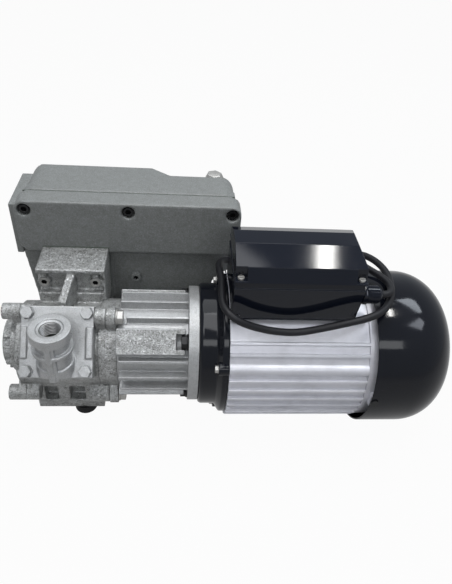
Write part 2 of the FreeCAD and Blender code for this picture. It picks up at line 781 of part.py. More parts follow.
def inlet_flange():
    """The tilted inlet plate with its upright threaded port and the chamber of the non-return valve."""
    half = s.flange_plate_side / 2
    bottom = s.inlet_seat + s.gasket_thick
    plate = box(tilted(PUMP_MIDDLE - half, -half, bottom), tilted(0, 0, 0))
    bind(plate, Length=s.flange_plate_side, Width=s.flange_plate_side, Height=s.flange_plate_thick)
    plate.Placement.Rotation = TILTED
    drum = rod((PUMP_MIDDLE, -s.port_front, s.valve_chamber_roof - 2), s.port_radius,
               s.port_top - s.valve_chamber_roof + 2, LEVEL)
    neck = rod((PUMP_MIDDLE, -s.port_front, -20), s.port_neck_radius, s.valve_chamber_roof + 20, LEVEL)
    front_rib = box((PUMP_MIDDLE - 3, -(s.port_front + s.port_radius - 0.6), 0),
                    (PUMP_MIDDLE + 3, -s.port_front, s.valve_chamber_roof))
    below = box(tilted(PUMP_MIDDLE - 2 * half, -2 * half - 60, bottom - 120), tilted(0, 0, 0))
    bind(below, Length=half * 4, Width=half * 4 + 60, Height=120)
    below.Placement.Rotation = TILTED
    lower = box(tilted(PUMP_MIDDLE - 2 * half, -half - 80, bottom - 40), tilted(0, 0, 0))
    bind(lower, Length=half * 4, Width=80, Height=200)
    lower.Placement.Rotation = TILTED
    body = cut(fuse(plate, drum, neck, front_rib), below, lower)
    recess = rod((PUMP_MIDDLE, -s.port_front, s.port_top - s.port_recess_depth), s.port_recess_radius, 10, LEVEL)
    thread_floor = s.port_top - s.port_recess_depth - s.port_thread_depth
    thread = rod((PUMP_MIDDLE, -s.port_front, thread_floor), s.port_thread_radius, s.port_thread_depth + 1, LEVEL)
    seat = rod((PUMP_MIDDLE, -s.port_front, s.valve_chamber_floor + 5), s.valve_seat_radius,
               s.valve_chamber_roof, LEVEL)
    seat = common(seat, box((PUMP_MIDDLE - 40, -120, s.valve_chamber_floor), (PUMP_MIDDLE + 40, 40, thread_floor + 1)))
    chamber = rod((PUMP_MIDDLE, -s.port_front, s.valve_chamber_floor), s.valve_chamber_radius,
                  s.valve_chamber_roof - s.valve_chamber_floor, LEVEL)
    passage = rod(tilted(PUMP_MIDDLE, 0, bottom - 1), s.passage_radius, 14, TILTED)
    holes = [rod(tilted(x, along, bottom - 1), s.large_screw + s.bolt_gap, s.flange_plate_thick + 2, TILTED)
             for x, along in inlet_bolt_places()]
    sub_part("inlet_flange", cut(body, recess, thread, seat, chamber, passage, *holes))


def inlet_gasket():
    """The flat gasket under the inlet plate."""
    half = s.flange_plate_side / 2
    sheet_piece = box(tilted(PUMP_MIDDLE - half, -half, s.inlet_seat), tilted(0, 0, 0))
    bind(sheet_piece, Length=s.flange_plate_side, Width=s.flange_plate_side, Height=s.gasket_thick)
    sheet_piece.Placement.Rotation = TILTED
    opening = rod(tilted(PUMP_MIDDLE, 0, s.inlet_seat - 1), s.passage_radius, 4, TILTED)
    holes = [rod(tilted(x, along, s.inlet_seat - 1), s.large_screw + s.bolt_gap, 4, TILTED)
             for x, along in inlet_bolt_places()]
    sub_part("inlet_gasket", cut(sheet_piece, opening, *holes))


def inlet_flange_bolts():
    """Four hex bolts that hold the inlet plate."""
    top = s.inlet_seat + s.gasket_thick + s.flange_plate_thick
    depth = s.gasket_thick + s.flange_plate_thick + 12
    bolts = []
    for x, along in inlet_bolt_places():
        head = rod(tilted(x, along, top), s.large_screw * 1.5, 1.2, TILTED)
        cap = hexagon(tilted(x, along, top + 1.2), s.large_screw * 2.6, s.large_screw * 1.3, TILTED)
        shank = rod(tilted(x, along, top - depth), s.large_screw, depth + 1, TILTED)
        bolts.append(fuse(head, cap, shank))
    sub_part("inlet_flange_bolts", group(*bolts))


def inlet_strainer():
    """A perforated disc in the passage under the valve chamber."""
    start = s.inlet_seat + s.gasket_thick + 0.5
    disc = rod(tilted(PUMP_MIDDLE, 0, start), s.passage_radius, 1.2, TILTED)
    holes = []
    for step in range(6):
        turn = math.radians(60 * step)
        holes.append(rod(tilted(PUMP_MIDDLE + s.passage_radius * (0.6 * math.cos(turn)),
                                s.passage_radius * (0.6 * math.sin(turn)), start - 1), 1.6, 4, TILTED))
    holes.append(rod(tilted(PUMP_MIDDLE, 0, start - 1), 1.6, 4, TILTED))
    sub_part("inlet_strainer", cut(disc, *holes))


def valve_disc():
    """The disc of the non-return valve, just under its seat."""
    top = s.valve_chamber_roof - s.seat_gap
    disc = rod((PUMP_MIDDLE, -s.port_front, top - s.valve_disc_thick), s.valve_chamber_radius - 0.8,
               s.valve_disc_thick, LEVEL)
    sub_part("valve_disc", disc)


def valve_spring():
    """The light coil spring that closes the non-return valve."""
    low = s.valve_chamber_floor + s.spring_wire / 2 + 0.1
    high = s.valve_chamber_roof - s.seat_gap - s.valve_disc_thick - s.spring_wire / 2 - 0.1
    count = SPRING_TURNS * SPRING_CORNERS
    reach = s.valve_spring_radius.number
    points = []
    for step in range(count + 1):
        turn = 2 * math.pi * step / SPRING_CORNERS
        height = low.number + (high.number - low.number) * step / count
        points.append(Vector(PUMP_MIDDLE.number + reach * math.cos(turn),
                             reach * math.sin(turn) - s.port_front.number, height))
    wire, smallest = rounded_wire(points)
    tube = round_tube(wire, points, s.spring_wire.number / 2)
    print(f"spring wire length {wire.Length:.0f}, smallest radius {smallest:.1f}")
    solid_feature("valve_spring", tube)


SPRING_TURNS = 5
SPRING_CORNERS = 10


# Exhaust valve and outlet block fittings


def exhaust_leaf():
    """The spring leaf over the exhaust holes, clamped at one end."""
    low = s.valve_seat_height + 0.1
    half = s.leaf_width / 2
    leaf = box((EXHAUST_MIDDLE - s.leaf_length / 2 + 7, s.exhaust_row - half, low),
               (EXHAUST_MIDDLE + s.leaf_length / 2, s.exhaust_row + half, low + s.leaf_thick))
    sub_part("exhaust_leaf", leaf)


def exhaust_leaf_stop():
    """The clamp block and the rising stop that limits the leaf's lift."""
    low = s.valve_seat_height
    half = s.leaf_width / 2
    left = EXHAUST_MIDDLE - s.leaf_length / 2
    clamp = box((left, s.exhaust_row - half, low), (left + 6.6, s.exhaust_row + half, low + 4))
    stop = box((left, s.exhaust_row - half, low + 2.5), (left + s.leaf_length, s.exhaust_row + half, low + 4),
               Rotation(Vector(0, 1, 0), -12))
    hole = rod((STOP_SCREW_X, s.exhaust_row, low - 1), s.small_screw + s.bolt_gap, 12, LEVEL)
    screw = socket_screw((STOP_SCREW_X, s.exhaust_row, low + 5.3), s.small_screw, 12, TO_MINUS_Z)
    sub_part("exhaust_leaf_stop", group(cut(fuse(clamp, stop), hole), screw))


def block_screws():
    """Two long socket-head screws that hold the outlet block to the oil box."""
    length = BLOCK_BACK - BLOCK_SCREW_SEAT + 12
    screws = [socket_screw((x, BLOCK_SCREW_SEAT, s.block_screw_height), s.medium_screw, length, TO_Y)
              for x in block_screw_places()]
    sub_part("block_screws", group(*screws))


# Oil box


def cover_outline(grow, right, left):
    """The front view of the oil box, drawn in by a margin, between a left and a right edge."""
    inset = s.box_left - left
    low_right = s.box_low_right - grow
    return [
        (-(left - grow), s.box_top - grow),
        (right - grow, s.box_top - grow),
        (right - grow, s.box_right_low + grow),
        (low_right + 6, s.box_right_low - 14 + grow),
        (low_right, s.box_right_low - 23 + grow),
        (low_right, s.box_bottom + grow),
        (-(s.box_left - 8 - grow), s.box_bottom + grow),
        (-(s.box_left - 6 - grow), 5),
        (-(left - grow), s.cover_bulge_bottom - 8 - inset * 2),
    ]


def box_screw_places():
    """The X and Z of the cover screws: three through the bulge, four through the lower flange."""
    high = s.box_top - 10
    low = s.box_bottom + 9
    return [(-(s.box_left - 10.5), high), (-72.5, high), (s.box_right - 9, high)], \
        [(-68.0, 36.0), (-(s.box_left - 17), low), (s.box_low_right - 9, low), (-80.0, low)]


def screw_column(x, z, radius, start, length):
    """A rod along Y at one screw."""
    return rod((x, start, z), radius, length, TO_Y)


def oil_box_cover():
    """The front cover: a flange plate, the raised bulge above it and the seat for the outlet block."""
    plate = outline_body("CoverPlate", "XZ_Plane", cover_outline(0, s.box_right, s.box_left), -COVER_BACK,
                         s.cover_depth - s.cover_step)
    plate = rounded(plate, s.box_corner, lambda edge: along_y(edge) and outer_corner(edge))
    bulge = box((-s.box_left, s.box_front, s.cover_bulge_bottom), (s.box_right, COVER_STEP_Y + 1, s.box_top))
    bulge = rounded(bulge, s.box_corner, along_y)
    seat = box((BLOCK_LEFT, s.box_front, s.block_bottom - 20), (BLOCK_RIGHT, COVER_STEP_Y + 1, s.block_top))
    inner = box((-(s.box_left - s.box_wall), s.box_front + s.box_wall, s.cover_bulge_bottom + s.box_wall),
                (s.box_right - s.box_wall, COVER_BACK, s.box_top - s.box_wall))
    lower = box((-(s.box_left - 17), COVER_STEP_Y + s.box_wall, s.box_bottom + 16),
                (s.box_low_right - s.box_wall * 2, COVER_BACK, s.cover_bulge_bottom + 10))
    high, low = box_screw_places()
    bosses = [screw_column(x, z, s.medium_screw * 3, s.box_front + 2, s.cover_depth - 2) for x, z in high]
    low_boss = screw_column(*low[0], s.medium_screw * 2.5, COVER_STEP_Y + 2, COVER_BACK - COVER_STEP_Y - 2)
    shell = fuse(cut(fuse(plate, bulge, seat), inner, lower), *bosses, low_boss)
    recesses = [screw_column(x, z, s.medium_screw * 2.2, s.box_front, s.medium_screw * 2.6) for x, z in high]
    holes = [screw_column(x, z, s.medium_screw + s.bolt_gap, s.box_front, s.cover_depth) for x, z in high + low]
    gas_way = box((EXHAUST_MIDDLE - 14, s.box_front, s.valve_seat_height + 3),
                  (EXHAUST_MIDDLE + 14, COVER_BACK, s.block_top - s.block_wall - 3))
    block_holes = [screw_column(x, s.block_screw_height, s.medium_screw + s.bolt_gap, s.box_front, 12)
                   for x in block_screw_places()]
    sub_part("oil_box_cover", cut(shell, *recesses, *holes, gas_way, *block_holes))


def back_corner(edge):
    """True for an upright edge at the rear of the housing that is rounded."""
    point = edge.Vertexes[0].Point
    rear_left = abs(point.y - s.box_back.number) < 1 and point.x < -s.box_left.number / 2
    rear_right = abs(point.y - s.box_shallow_back.number) < 1 and point.x > 0
    return rear_left or rear_right


def outer_corner(edge):
    """True for a corner of the box outline that is rounded."""
    point = edge.Vertexes[0].Point
    at_right = abs(point.x - s.box_right.number) < 1 or abs(point.x - (s.box_right - s.box_flange_lip).number) < 1
    at_left = point.x < HOUSING_LEFT.number * -1 + 1 and point.z > s.box_top.number - 1
    low_corner = point.z < s.box_bottom.number + 1
    return at_right or at_left or low_corner


def box_gaskets():
    """The gasket behind the front cover and the one under the outlet block."""
    thin = outline_body("CoverGasket", "XZ_Plane", cover_outline(1, s.box_right - s.box_flange_lip, HOUSING_LEFT), -HOUSING_FRONT,
                        s.gasket_thick)
    inner = box((-(s.box_left - s.box_wall - 3), COVER_BACK - 1, s.box_right_low + s.box_wall + 3),
                (s.box_right - s.box_flange_lip - s.box_wall - 3, HOUSING_FRONT + 1, s.box_top - s.box_wall - 3))
    lower = box((-(s.box_left - 17), COVER_BACK - 1, s.box_bottom + 16),
                (s.box_low_right - s.box_wall * 2, HOUSING_FRONT + 1, s.box_top - s.box_wall - 12))
    high, low = box_screw_places()
    rings = [screw_column(x, z, s.medium_screw * 2.5, COVER_BACK, s.gasket_thick) for x, z in high + low]
    holes = [screw_column(x, z, s.medium_screw + s.bolt_gap, COVER_BACK - 1, 4) for x, z in high + low]
    main = cut(fuse(cut(thin, inner, lower), *rings), *holes)
    block = box((BLOCK_LEFT, BLOCK_BACK, s.block_bottom), (BLOCK_RIGHT, s.box_front, s.block_top))
    gas_way = box((EXHAUST_MIDDLE - 16, BLOCK_BACK - 1, s.valve_seat_height + 1),
                  (EXHAUST_MIDDLE + 16, s.box_front + 1, s.block_top - s.block_wall - 1))
    block_holes = [screw_column(x, s.block_screw_height, s.medium_screw + s.bolt_gap, BLOCK_BACK - 1, 4)
                   for x in block_screw_places()]
    sub_part("box_gaskets", group(main, cut(block, gas_way, *block_holes)))


def cover_screws():
    """The socket-head screws of the front cover."""
    high, low = box_screw_places()
    recess = s.medium_screw * 2.6
    screws = [socket_screw((x, s.box_front + recess, z), s.medium_screw, s.cover_depth - recess + 13, TO_Y)
              for x, z in high]
    screws += [socket_screw((x, COVER_STEP_Y, z), s.medium_screw, COVER_BACK - COVER_STEP_Y + 13, TO_Y)
               for x, z in low]
    sub_part("cover_screws", group(*screws))


def oil_box_housing():
    """The rear casting of the oil box, with its stepped back wall, screw bosses and filler neck."""
    right = s.box_right - s.box_flange_lip
    main = outline_body("HousingBlock", "XZ_Plane", cover_outline(0, right, HOUSING_LEFT), -s.box_back,
                        s.box_back - HOUSING_FRONT)
    main = rounded(main, s.box_corner, lambda edge: along_y(edge) and outer_corner(edge))
    plan = outline_body("HousingPlan", "XY_Plane", [
        (-HOUSING_LEFT, HOUSING_FRONT), (right, HOUSING_FRONT), (right, s.box_shallow_back),
        (-STEP_END, s.box_shallow_back), (-STEP_START, s.box_back), (-HOUSING_LEFT, s.box_back),
    ], s.box_bottom, s.box_top - s.box_bottom)
    plan = rounded(plan, s.box_back_corner, lambda edge: runs_along(edge, 2) and back_corner(edge))
    main = common(main, plan)
    neck = rod((s.filler_side, s.filler_back, s.filler_boss_top - 40), s.filler_boss_radius, 40, LEVEL)
    wall = s.box_wall
    inner = box((-(HOUSING_LEFT - wall), HOUSING_FRONT, s.box_right_low + wall),
                (right - wall, s.box_shallow_back - wall, s.box_top - wall))
    lower = box((-(s.box_left - 8 - wall), HOUSING_FRONT, s.box_bottom + wall),
                (s.box_low_right - wall, s.box_shallow_back - wall, s.box_right_low - 14))
    joining = box((-(s.box_left - 8 - wall), HOUSING_FRONT, s.box_right_low - 15),
                  (s.box_low_right - wall, s.box_shallow_back - wall, s.box_right_low + wall + 1))
    deep_inner = box((-(s.box_left - 8 - wall), HOUSING_FRONT, s.box_bottom + wall),
                     (-STEP_START, s.box_back - wall, s.box_top - wall))
    high, low = box_screw_places()
    bosses = [common(screw_column(x, z, s.medium_screw * 2.5, HOUSING_FRONT, 14),
                     box((-HOUSING_LEFT, HOUSING_FRONT, s.box_bottom), (right, s.box_shallow_back, s.box_top)))
              for x, z in high + low]
    shelf = box((-68 - 5, HOUSING_FRONT, s.box_right_low - 20),
                (-68 + 5, HOUSING_FRONT + 16, s.box_right_low + 8))
    bridge = box((-(s.box_left - 8), HOUSING_FRONT, s.box_right_low),
                 (s.box_low_right, HOUSING_FRONT + 16, s.box_right_low + 4))
    ears = [box((FLOAT_PIVOT_X - 4, s.filter_axis_back + side, s.box_bottom),
                (FLOAT_PIVOT_X + 4, s.filter_axis_back + side + 3, FLOAT_PIVOT_Z + 5)) for side in (-8, 5)]
    shell = fuse(cut(fuse(main, neck), inner, lower, joining, deep_inner), *bosses, shelf, bridge, *ears)
    holes = [screw_column(x, z, s.medium_screw + s.bolt_gap, HOUSING_FRONT, 12.5) for x, z in high + low]
    filler = rod((s.filler_side, s.filler_back, s.filler_boss_top - 30), 6.5, 40, LEVEL)
    filler_way = rod((s.filler_side, s.filler_back - 20, s.filler_boss_top - 20), 5, 20, TO_Y)
    filter_bore = rod((-s.box_left, s.filter_axis_back, s.filter_axis_height), s.filter_radius + 0.3, wall + 12)
    sight = rod((SIGHT_X, s.box_back - wall, SIGHT_Z), s.sight_radius * 0.6, wall + 1, TO_Y)
    drain = rod((DRAIN_X, s.box_back - wall, DRAIN_Z), s.large_screw * 1.4 + s.bolt_gap, wall + 1, TO_Y)
    pivot = rod((FLOAT_PIVOT_X, s.filter_axis_back - 9, FLOAT_PIVOT_Z), s.small_screw + s.running_gap, 18, TO_Y)
    side_holes = [rod((-HOUSING_LEFT, y, z), s.small_screw + s.bolt_gap, wall)
                  for y, z in filter_cover_screw_places()]
    foot_holes = [rod((x, y, s.box_bottom), s.medium_screw + s.bolt_gap, wall, LEVEL) for x, y in box_foot_places()]
    sub_part("oil_box_housing", cut(shell, *holes, filler, filler_way, filter_bore, sight, drain, pivot,
                                    *side_holes, *foot_holes))


SIGHT_X = as_size(-110.0)
SIGHT_Z = as_size(-18.0)
DRAIN_X = as_size(-150.0)
DRAIN_Z = as_size(-54.0)
FLOAT_PIVOT_X = as_size(-36.0)
FLOAT_PIVOT_Z = as_size(-32.0)


def box_foot_places():
    """The X and Y of the two feet under the oil box."""
    return [(-(s.box_left - 30), s.filter_axis_back), (-32.0, s.filter_axis_back)]


def filter_cover_screw_places():
    """The Y and Z of the four screws of the side cover."""
    across, up = s.filter_radius - 1, s.filter_radius + 2
    return [(s.filter_axis_back + across * a, s.filter_axis_height + up * b)
            for a, b in ((-0.5, -1), (0.5, -1), (-0.5, 1), (0.5, 1))]


def filter_cover():
    """The side cover over the mist filter, with the threaded exhaust port."""
    front = s.box_front + 4
    plate = box((-(s.box_left + s.filter_cover_thick), HOUSING_FRONT + 0.2, s.filter_axis_height - s.filter_radius - 8),
                (-(HOUSING_LEFT + 0.1), s.box_shallow_back + 4, s.filter_axis_height + s.filter_radius + 8))
    apron = box((-(s.box_left + s.filter_cover_thick), front, s.filter_axis_height - s.filter_radius - 8),
                (-(s.box_left + 0.1), HOUSING_FRONT + 8, s.filter_axis_height + s.filter_radius + 8))
    plate = fuse(plate, apron)
    boss = rod((EXHAUST_END, s.filter_axis_back, s.filter_axis_height), s.exhaust_boss_radius,
               s.exhaust_boss_height + 1)
    sleeve = rod((-(s.box_left + 1), s.filter_axis_back, s.filter_axis_height), s.filter_radius, 13)
    port = rod((EXHAUST_END, s.filter_axis_back, s.filter_axis_height), s.port_thread_radius, 30)
    holes = [rod((-(s.box_left + s.filter_cover_thick), y, z), s.small_screw + s.bolt_gap, s.filter_cover_thick + 6)
             for y, z in filter_cover_screw_places()]
    recesses = [rod((-(s.box_left + s.filter_cover_thick), y, z), s.small_screw * 2, s.small_screw * 2 + 0.4)
                for y, z in filter_cover_screw_places()]
    sub_part("filter_cover", cut(fuse(plate, boss, sleeve), port, *holes, *recesses))


def filter_cover_screws():
    """Four small screws of the side cover."""
    seat = s.box_left + s.filter_cover_thick - s.small_screw * 2 - 0.4
    screws = [socket_screw((-seat, y, z), s.small_screw, seat - HOUSING_LEFT + s.box_wall - 0.5, TO_X)
              for y, z in filter_cover_screw_places()]
    sub_part("filter_cover_screws", group(*screws))


def exhaust_filter():
    """The cylindrical oil mist filter, closed at its far end."""
    start = FILTER_START
    body = rod((start, s.filter_axis_back, s.filter_axis_height), s.filter_radius, s.filter_length)
    hollow = rod((start, s.filter_axis_back, s.filter_axis_height), s.filter_radius - 8, s.filter_length - 6)
    sub_part("exhaust_filter", cut(body, hollow))


def filler_plug():
    """The hexagonal oil filler plug on its neck."""
    top = s.filler_boss_top
    flange = rod((s.filler_side, s.filler_back, top), 9.8, 1.6, LEVEL)
    head = hexagon((s.filler_side, s.filler_back, top + 1.6), 16.6, 8.4, LEVEL)
    stem = rod((s.filler_side, s.filler_back, top - 12), 6.5 - s.bolt_gap, 12.5, LEVEL)
    sub_part("filler_plug", fuse(flange, head, stem))


def drain_plug():
    """The oil drain plug in the back wall."""
    collar = rod((DRAIN_X, s.box_back, DRAIN_Z), 9, 1.5, TO_Y)
    head = hexagon((DRAIN_X, s.box_back + 1.5, DRAIN_Z), 14, 5.5, TO_Y)
    stem = rod((DRAIN_X, s.box_back - s.box_wall, DRAIN_Z), s.large_screw * 1.4, s.box_wall + 1, TO_Y)
    sub_part("drain_plug", fuse(collar, head, stem))


def sight_glass():
    """The round oil level window in the back wall."""
    rim = ring((SIGHT_X, s.box_back, SIGHT_Z), s.sight_radius, s.sight_radius * 0.6, 6, TO_Y)
    pane = rod((SIGHT_X, s.box_back + 1, SIGHT_Z), s.sight_radius * 0.6, 3, TO_Y)
    sub_part("sight_glass", fuse(rim, pane))


def float_valve():
    """The float on its arm, which opens the oil return when the level rises."""
    arm_left = FLOAT_PIVOT_X - s.float_arm
    arm = box((arm_left, s.filter_axis_back - 2, FLOAT_PIVOT_Z - 1.5),
              (FLOAT_PIVOT_X + 5, s.filter_axis_back + 2, FLOAT_PIVOT_Z + 1.5))
    half_height = s.float_radius - 3
    ball = rod((arm_left - s.float_radius + 1, s.filter_axis_back, FLOAT_PIVOT_Z - half_height), s.float_radius,
               half_height * 2, LEVEL)
    ball = rounded(ball, s.float_radius / 3, lambda edge: len(edge.Vertexes) == 1)
    hub = rod((FLOAT_PIVOT_X, s.filter_axis_back - 4.6, FLOAT_PIVOT_Z), s.small_screw * 2, 9.2, TO_Y)
    pin = rod((FLOAT_PIVOT_X, s.filter_axis_back - 8, FLOAT_PIVOT_Z), s.small_screw, 16, TO_Y)
    sub_part("float_arm", fuse(arm, ball, hub, pin))


# Lantern and coupling


def lantern():
    """The finned lantern that carries the motor on the pump."""
    barrel = rod((LANTERN_LEFT, 0, 0), s.lantern_barrel_radius, s.lantern_length)
    flange = rod((0, 0, 0), s.flange_radius, s.flange_thick, TO_MINUS_X)
    right = -s.flange_thick + 1
    left = LANTERN_LEFT + 2
    fins = [radial_rib(left, right, s.lantern_bore_radius + 2, s.lantern_fin_radius, s.lantern_fin_thick, angle)
            for angle in LANTERN_FIN_ANGLES]
    pad_left = LANTERN_LEFT
    pad_right = -s.flange_thick - 3.5
    pads = [radial_rib(pad_left, pad_right, s.lantern_bore_radius + 1, s.lantern_fin_radius,
                       s.lantern_pad_width, angle) for angle in MOTOR_FLANGE_ANGLES]
    bore = rod((LANTERN_LEFT + 6, 0, 0), s.lantern_bore_radius, s.lantern_length)
    shaft_hole = rod((LANTERN_LEFT, 0, 0), s.coupling_radius, s.lantern_length)
    recess = rod((0, 0, 0), s.lantern_bore_radius + s.running_gap, s.spigot_height + 0.5, TO_MINUS_X)
    holes = [rod((0, *around(s.flange_pitch_radius, angle)), s.large_screw + s.bolt_gap, s.flange_thick,
                 TO_MINUS_X) for angle in MOTOR_FLANGE_ANGLES]
    inner_holes = [rod((LANTERN_LEFT, *around(LANTERN_SCREW_CIRCLE, angle)), s.medium_screw + s.bolt_gap, 6)
                   for angle in MOTOR_FLANGE_ANGLES]
    notch = [rod((LANTERN_LEFT, *around(s.drive_bolt_circle, angle)), s.large_screw * 2.5, 9)
             for angle in DRIVE_PLATE_ANGLES]
    notch += [rod((-s.flange_thick, *around(s.flange_pitch_radius, angle)), s.large_screw * 2.15, 12, TO_MINUS_X)
              for angle in MOTOR_FLANGE_ANGLES]
    sub_part("lantern", cut(fuse(barrel, flange, *fins, *pads), bore, shaft_hole, recess, *holes, *inner_holes,
                            *notch))


LANTERN_FIN_ANGLES = [180 - degrees for degrees in (116.0, 93.5, 71.5, 23.0, 3.0, -17.0, -71.5, -93.5)]
LANTERN_FIN_ANGLES += [-10.0, 10.0, 20.0, -20.0]


def lantern_screws():
    """Four socket-head screws inside the lantern."""
    screws = [socket_screw((LANTERN_LEFT + 6, *around(LANTERN_SCREW_CIRCLE, angle)), s.medium_screw, 16,
                           TO_MINUS_X) for angle in MOTOR_FLANGE_ANGLES]
    sub_part("lantern_screws", group(*screws))


def flange_bolts():
    """Four hex bolts that hold the motor to the lantern."""
    bolts = [hex_bolt((-s.flange_thick, *around(s.flange_pitch_radius, angle)), s.large_screw,
                      s.flange_thick + 8, TO_X, TO_MINUS_X) for angle in MOTOR_FLANGE_ANGLES]
    sub_part("flange_bolts", group(*bolts))


def sector(start, outer, inner, length, angle, width):
    """A jaw: a slice of a ring about the shaft."""
    outer_slice = rod(start, outer, length, Rotation(Vector(1, 0, 0), angle) * TO_X)
    outer_slice.Angle = width
    inner_slice = rod(start, inner, length)
    return cut(outer_slice, inner_slice)


JAW_WIDTH = 30.0
PAD_WIDTH = 28.0


def coupling_hub(node, disc_start, disc_end, jaw_start, shaft_start, first_angle):
    """A coupling half: a hub disc with three jaws."""
    disc = rod((disc_start, 0, 0), s.coupling_radius - 1, disc_end - disc_start)
    jaws = [sector((jaw_start, 0, 0), s.coupling_radius - 1, s.shaft_radius, s.jaw_length + 1, first_angle + 120 * k,
                   JAW_WIDTH) for k in range(3)]
    bore = rod((shaft_start, 0, 0), s.shaft_radius + s.running_gap, 60)
    sub_part(node, cut(fuse(disc, *jaws), bore))


def coupling_spider():
    """The elastic star between the coupling jaws."""
    start = COUPLING_MIDDLE - s.jaw_length / 2 + 0.3
    pads = [sector((start, 0, 0), s.coupling_radius - 1.5, 5, s.jaw_length - 0.6, 31 + 60 * k, PAD_WIDTH)
            for k in range(6)]
    ring_piece = ring((start, 0, 0), s.shaft_radius - 0.5, 4, s.jaw_length - 0.6)
    sub_part("coupling_spider", fuse(ring_piece, *pads))


def couplings():
    """Both coupling halves and the spider between them."""
    left = COUPLING_MIDDLE - s.jaw_length / 2
    right = COUPLING_MIDDLE + s.jaw_length / 2
    coupling_hub("pump_coupling_hub", left - s.hub_length, left, left - 1, left - s.hub_length - 1, 0)
    coupling_hub("motor_coupling_hub", right, right + s.hub_length, left, right - 1, 60)
    coupling_spider()


# Motor


def motor_front_shield():
    """The black drive-side end shield, which flares from the flange to the frame."""
    hub = s.motor_bearing_radius + 5
    shield = turned_body("FrontShield", [
        (-s.spigot_height, s.shaft_radius + 3), (-s.spigot_height, s.lantern_bore_radius),
        (0, s.lantern_bore_radius), (0, s.flange_radius), (3, s.flange_radius), (3, s.shield_drum_radius),
        (s.shield_length - 11, s.shield_drum_radius), (s.shield_length - s.shield_rim_thick, s.shield_rim_radius),
        (s.shield_length, s.shield_rim_radius), (s.shield_length, s.stator_radius),
        (s.shield_length - 9, s.shield_drum_radius - 6), (9, s.shield_drum_radius - 6), (9, hub),
        (s.motor_bearing_width + 4, hub), (s.motor_bearing_width + 4, s.motor_bearing_radius),
        (4, s.motor_bearing_radius), (4, s.shaft_radius + 3),
    ])
    lugs = [rod((s.shield_length - 10, *around(s.tie_bolt_circle, angle)), s.tie_boss_radius, 10)
            for angle in TIE_BOLT_ANGLES]
    holes = [rod((0, *around(s.flange_pitch_radius, angle)), s.large_screw + s.bolt_gap, 9)
             for angle in MOTOR_FLANGE_ANGLES]
    ties = [rod((s.shield_length - 10, *around(s.tie_bolt_circle, angle)), s.small_screw + s.bolt_gap, 10)
            for angle in TIE_BOLT_ANGLES]
    sub_part("motor_front_shield", cut(fuse(shield, *lugs), *holes, *ties))


def frame_fin_angles():
    """The angle of each fin of the motor frame, between the tie bosses and the terminal pad."""
    angles = []
    for start in (-15.0, 75.0, 165.0, 255.0):
        for step in range(9):
            angle = (start + 9 + 8.6 * step - 9.0) % 360
            if not 52 < angle < 128:
                angles.append(angle)
    return angles


def motor_frame():
    """The extruded aluminium frame with its long fins and four tie bosses."""
    tube = rod((FRAME_LEFT, 0, 0), s.frame_radius, s.frame_length)
    fins = [radial_rib(FRAME_LEFT, FRAME_RIGHT, s.frame_radius - 2, s.frame_fin_radius, s.frame_fin_thick, angle)
            for angle in frame_fin_angles()]
    bosses = [rod((FRAME_LEFT, *around(s.tie_bolt_circle, angle)), s.tie_boss_radius, s.frame_length)
              for angle in TIE_BOLT_ANGLES]
    bore = rod((FRAME_LEFT, 0, 0), s.stator_radius + s.running_gap, s.frame_length)
    ties = [rod((FRAME_LEFT, *around(s.tie_bolt_circle, angle)), s.small_screw + s.bolt_gap, s.frame_length)
            for angle in TIE_BOLT_ANGLES]
    wire_hole = rod((s.terminal_start + 30, 0, s.stator_radius - 6), 8, 20, LEVEL)
    sub_part("motor_frame", cut(fuse(tube, *fins, *bosses), bore, *ties, wire_hole))


def tie_bolts():
    """Four long hex bolts from shield to shield."""
    start = s.shield_length - 10
    bolts = [hex_bolt((start, *around(s.tie_bolt_circle, angle)), s.small_screw, s.frame_length + 10 + 9,
                      TO_X, TO_MINUS_X) for angle in TIE_BOLT_ANGLES]
    sub_part("tie_bolts", group(*bolts))


def motor_rear_shield():
    """The tail shield with its bearing seat and the ears that carry the cowl."""
    disc = rod((FRAME_RIGHT, 0, 0), s.tail_shield_radius, s.tail_shield_thick)
    hollow = ring((FRAME_RIGHT, 0, 0), s.stator_radius - 4, s.motor_bearing_radius + 5, s.tail_shield_thick - 5)
    ears = [radial_rib(TAIL_RIGHT - 8, TAIL_RIGHT, s.tail_shield_radius - 3, s.cowl_radius - s.cowl_wall - 0.6, 14,
                       angle) for angle in COWL_SCREW_ANGLES]
    bearing = rod((TAIL_RIGHT - 1, 0, 0), s.motor_bearing_radius, s.motor_bearing_width, TO_MINUS_X)
    shaft = rod((FRAME_RIGHT - 1, 0, 0), s.motor_bearing_bore + 2, 30)
    ties = [rod((FRAME_RIGHT, *around(s.tie_bolt_circle, angle)), s.small_screw + s.bolt_gap, 9.5)
            for angle in TIE_BOLT_ANGLES]
    screws = [cowl_screw_hole(angle) for angle in COWL_SCREW_ANGLES]
    sub_part("motor_rear_shield", cut(fuse(cut(disc, hollow), *ears), bearing, shaft, *ties, *screws))


COWL_SCREW_ANGLES = (180.0, 270.0, 0.0, 90.0)


def radial_rod(x, angle, inner, outer, radius):
    """A rod that points outwards from the shaft."""
    turn = Rotation(Vector(1, 0, 0), angle) * TO_Y
    return rod((x, *around(inner, angle)), radius, as_size(outer) - inner, turn)


def cowl_screw_hole(angle):
    """The hole of one cowl screw in its ear."""
    return radial_rod(TAIL_RIGHT - 4, angle, s.cowl_radius - 9, s.cowl_radius, s.small_screw + s.bolt_gap)


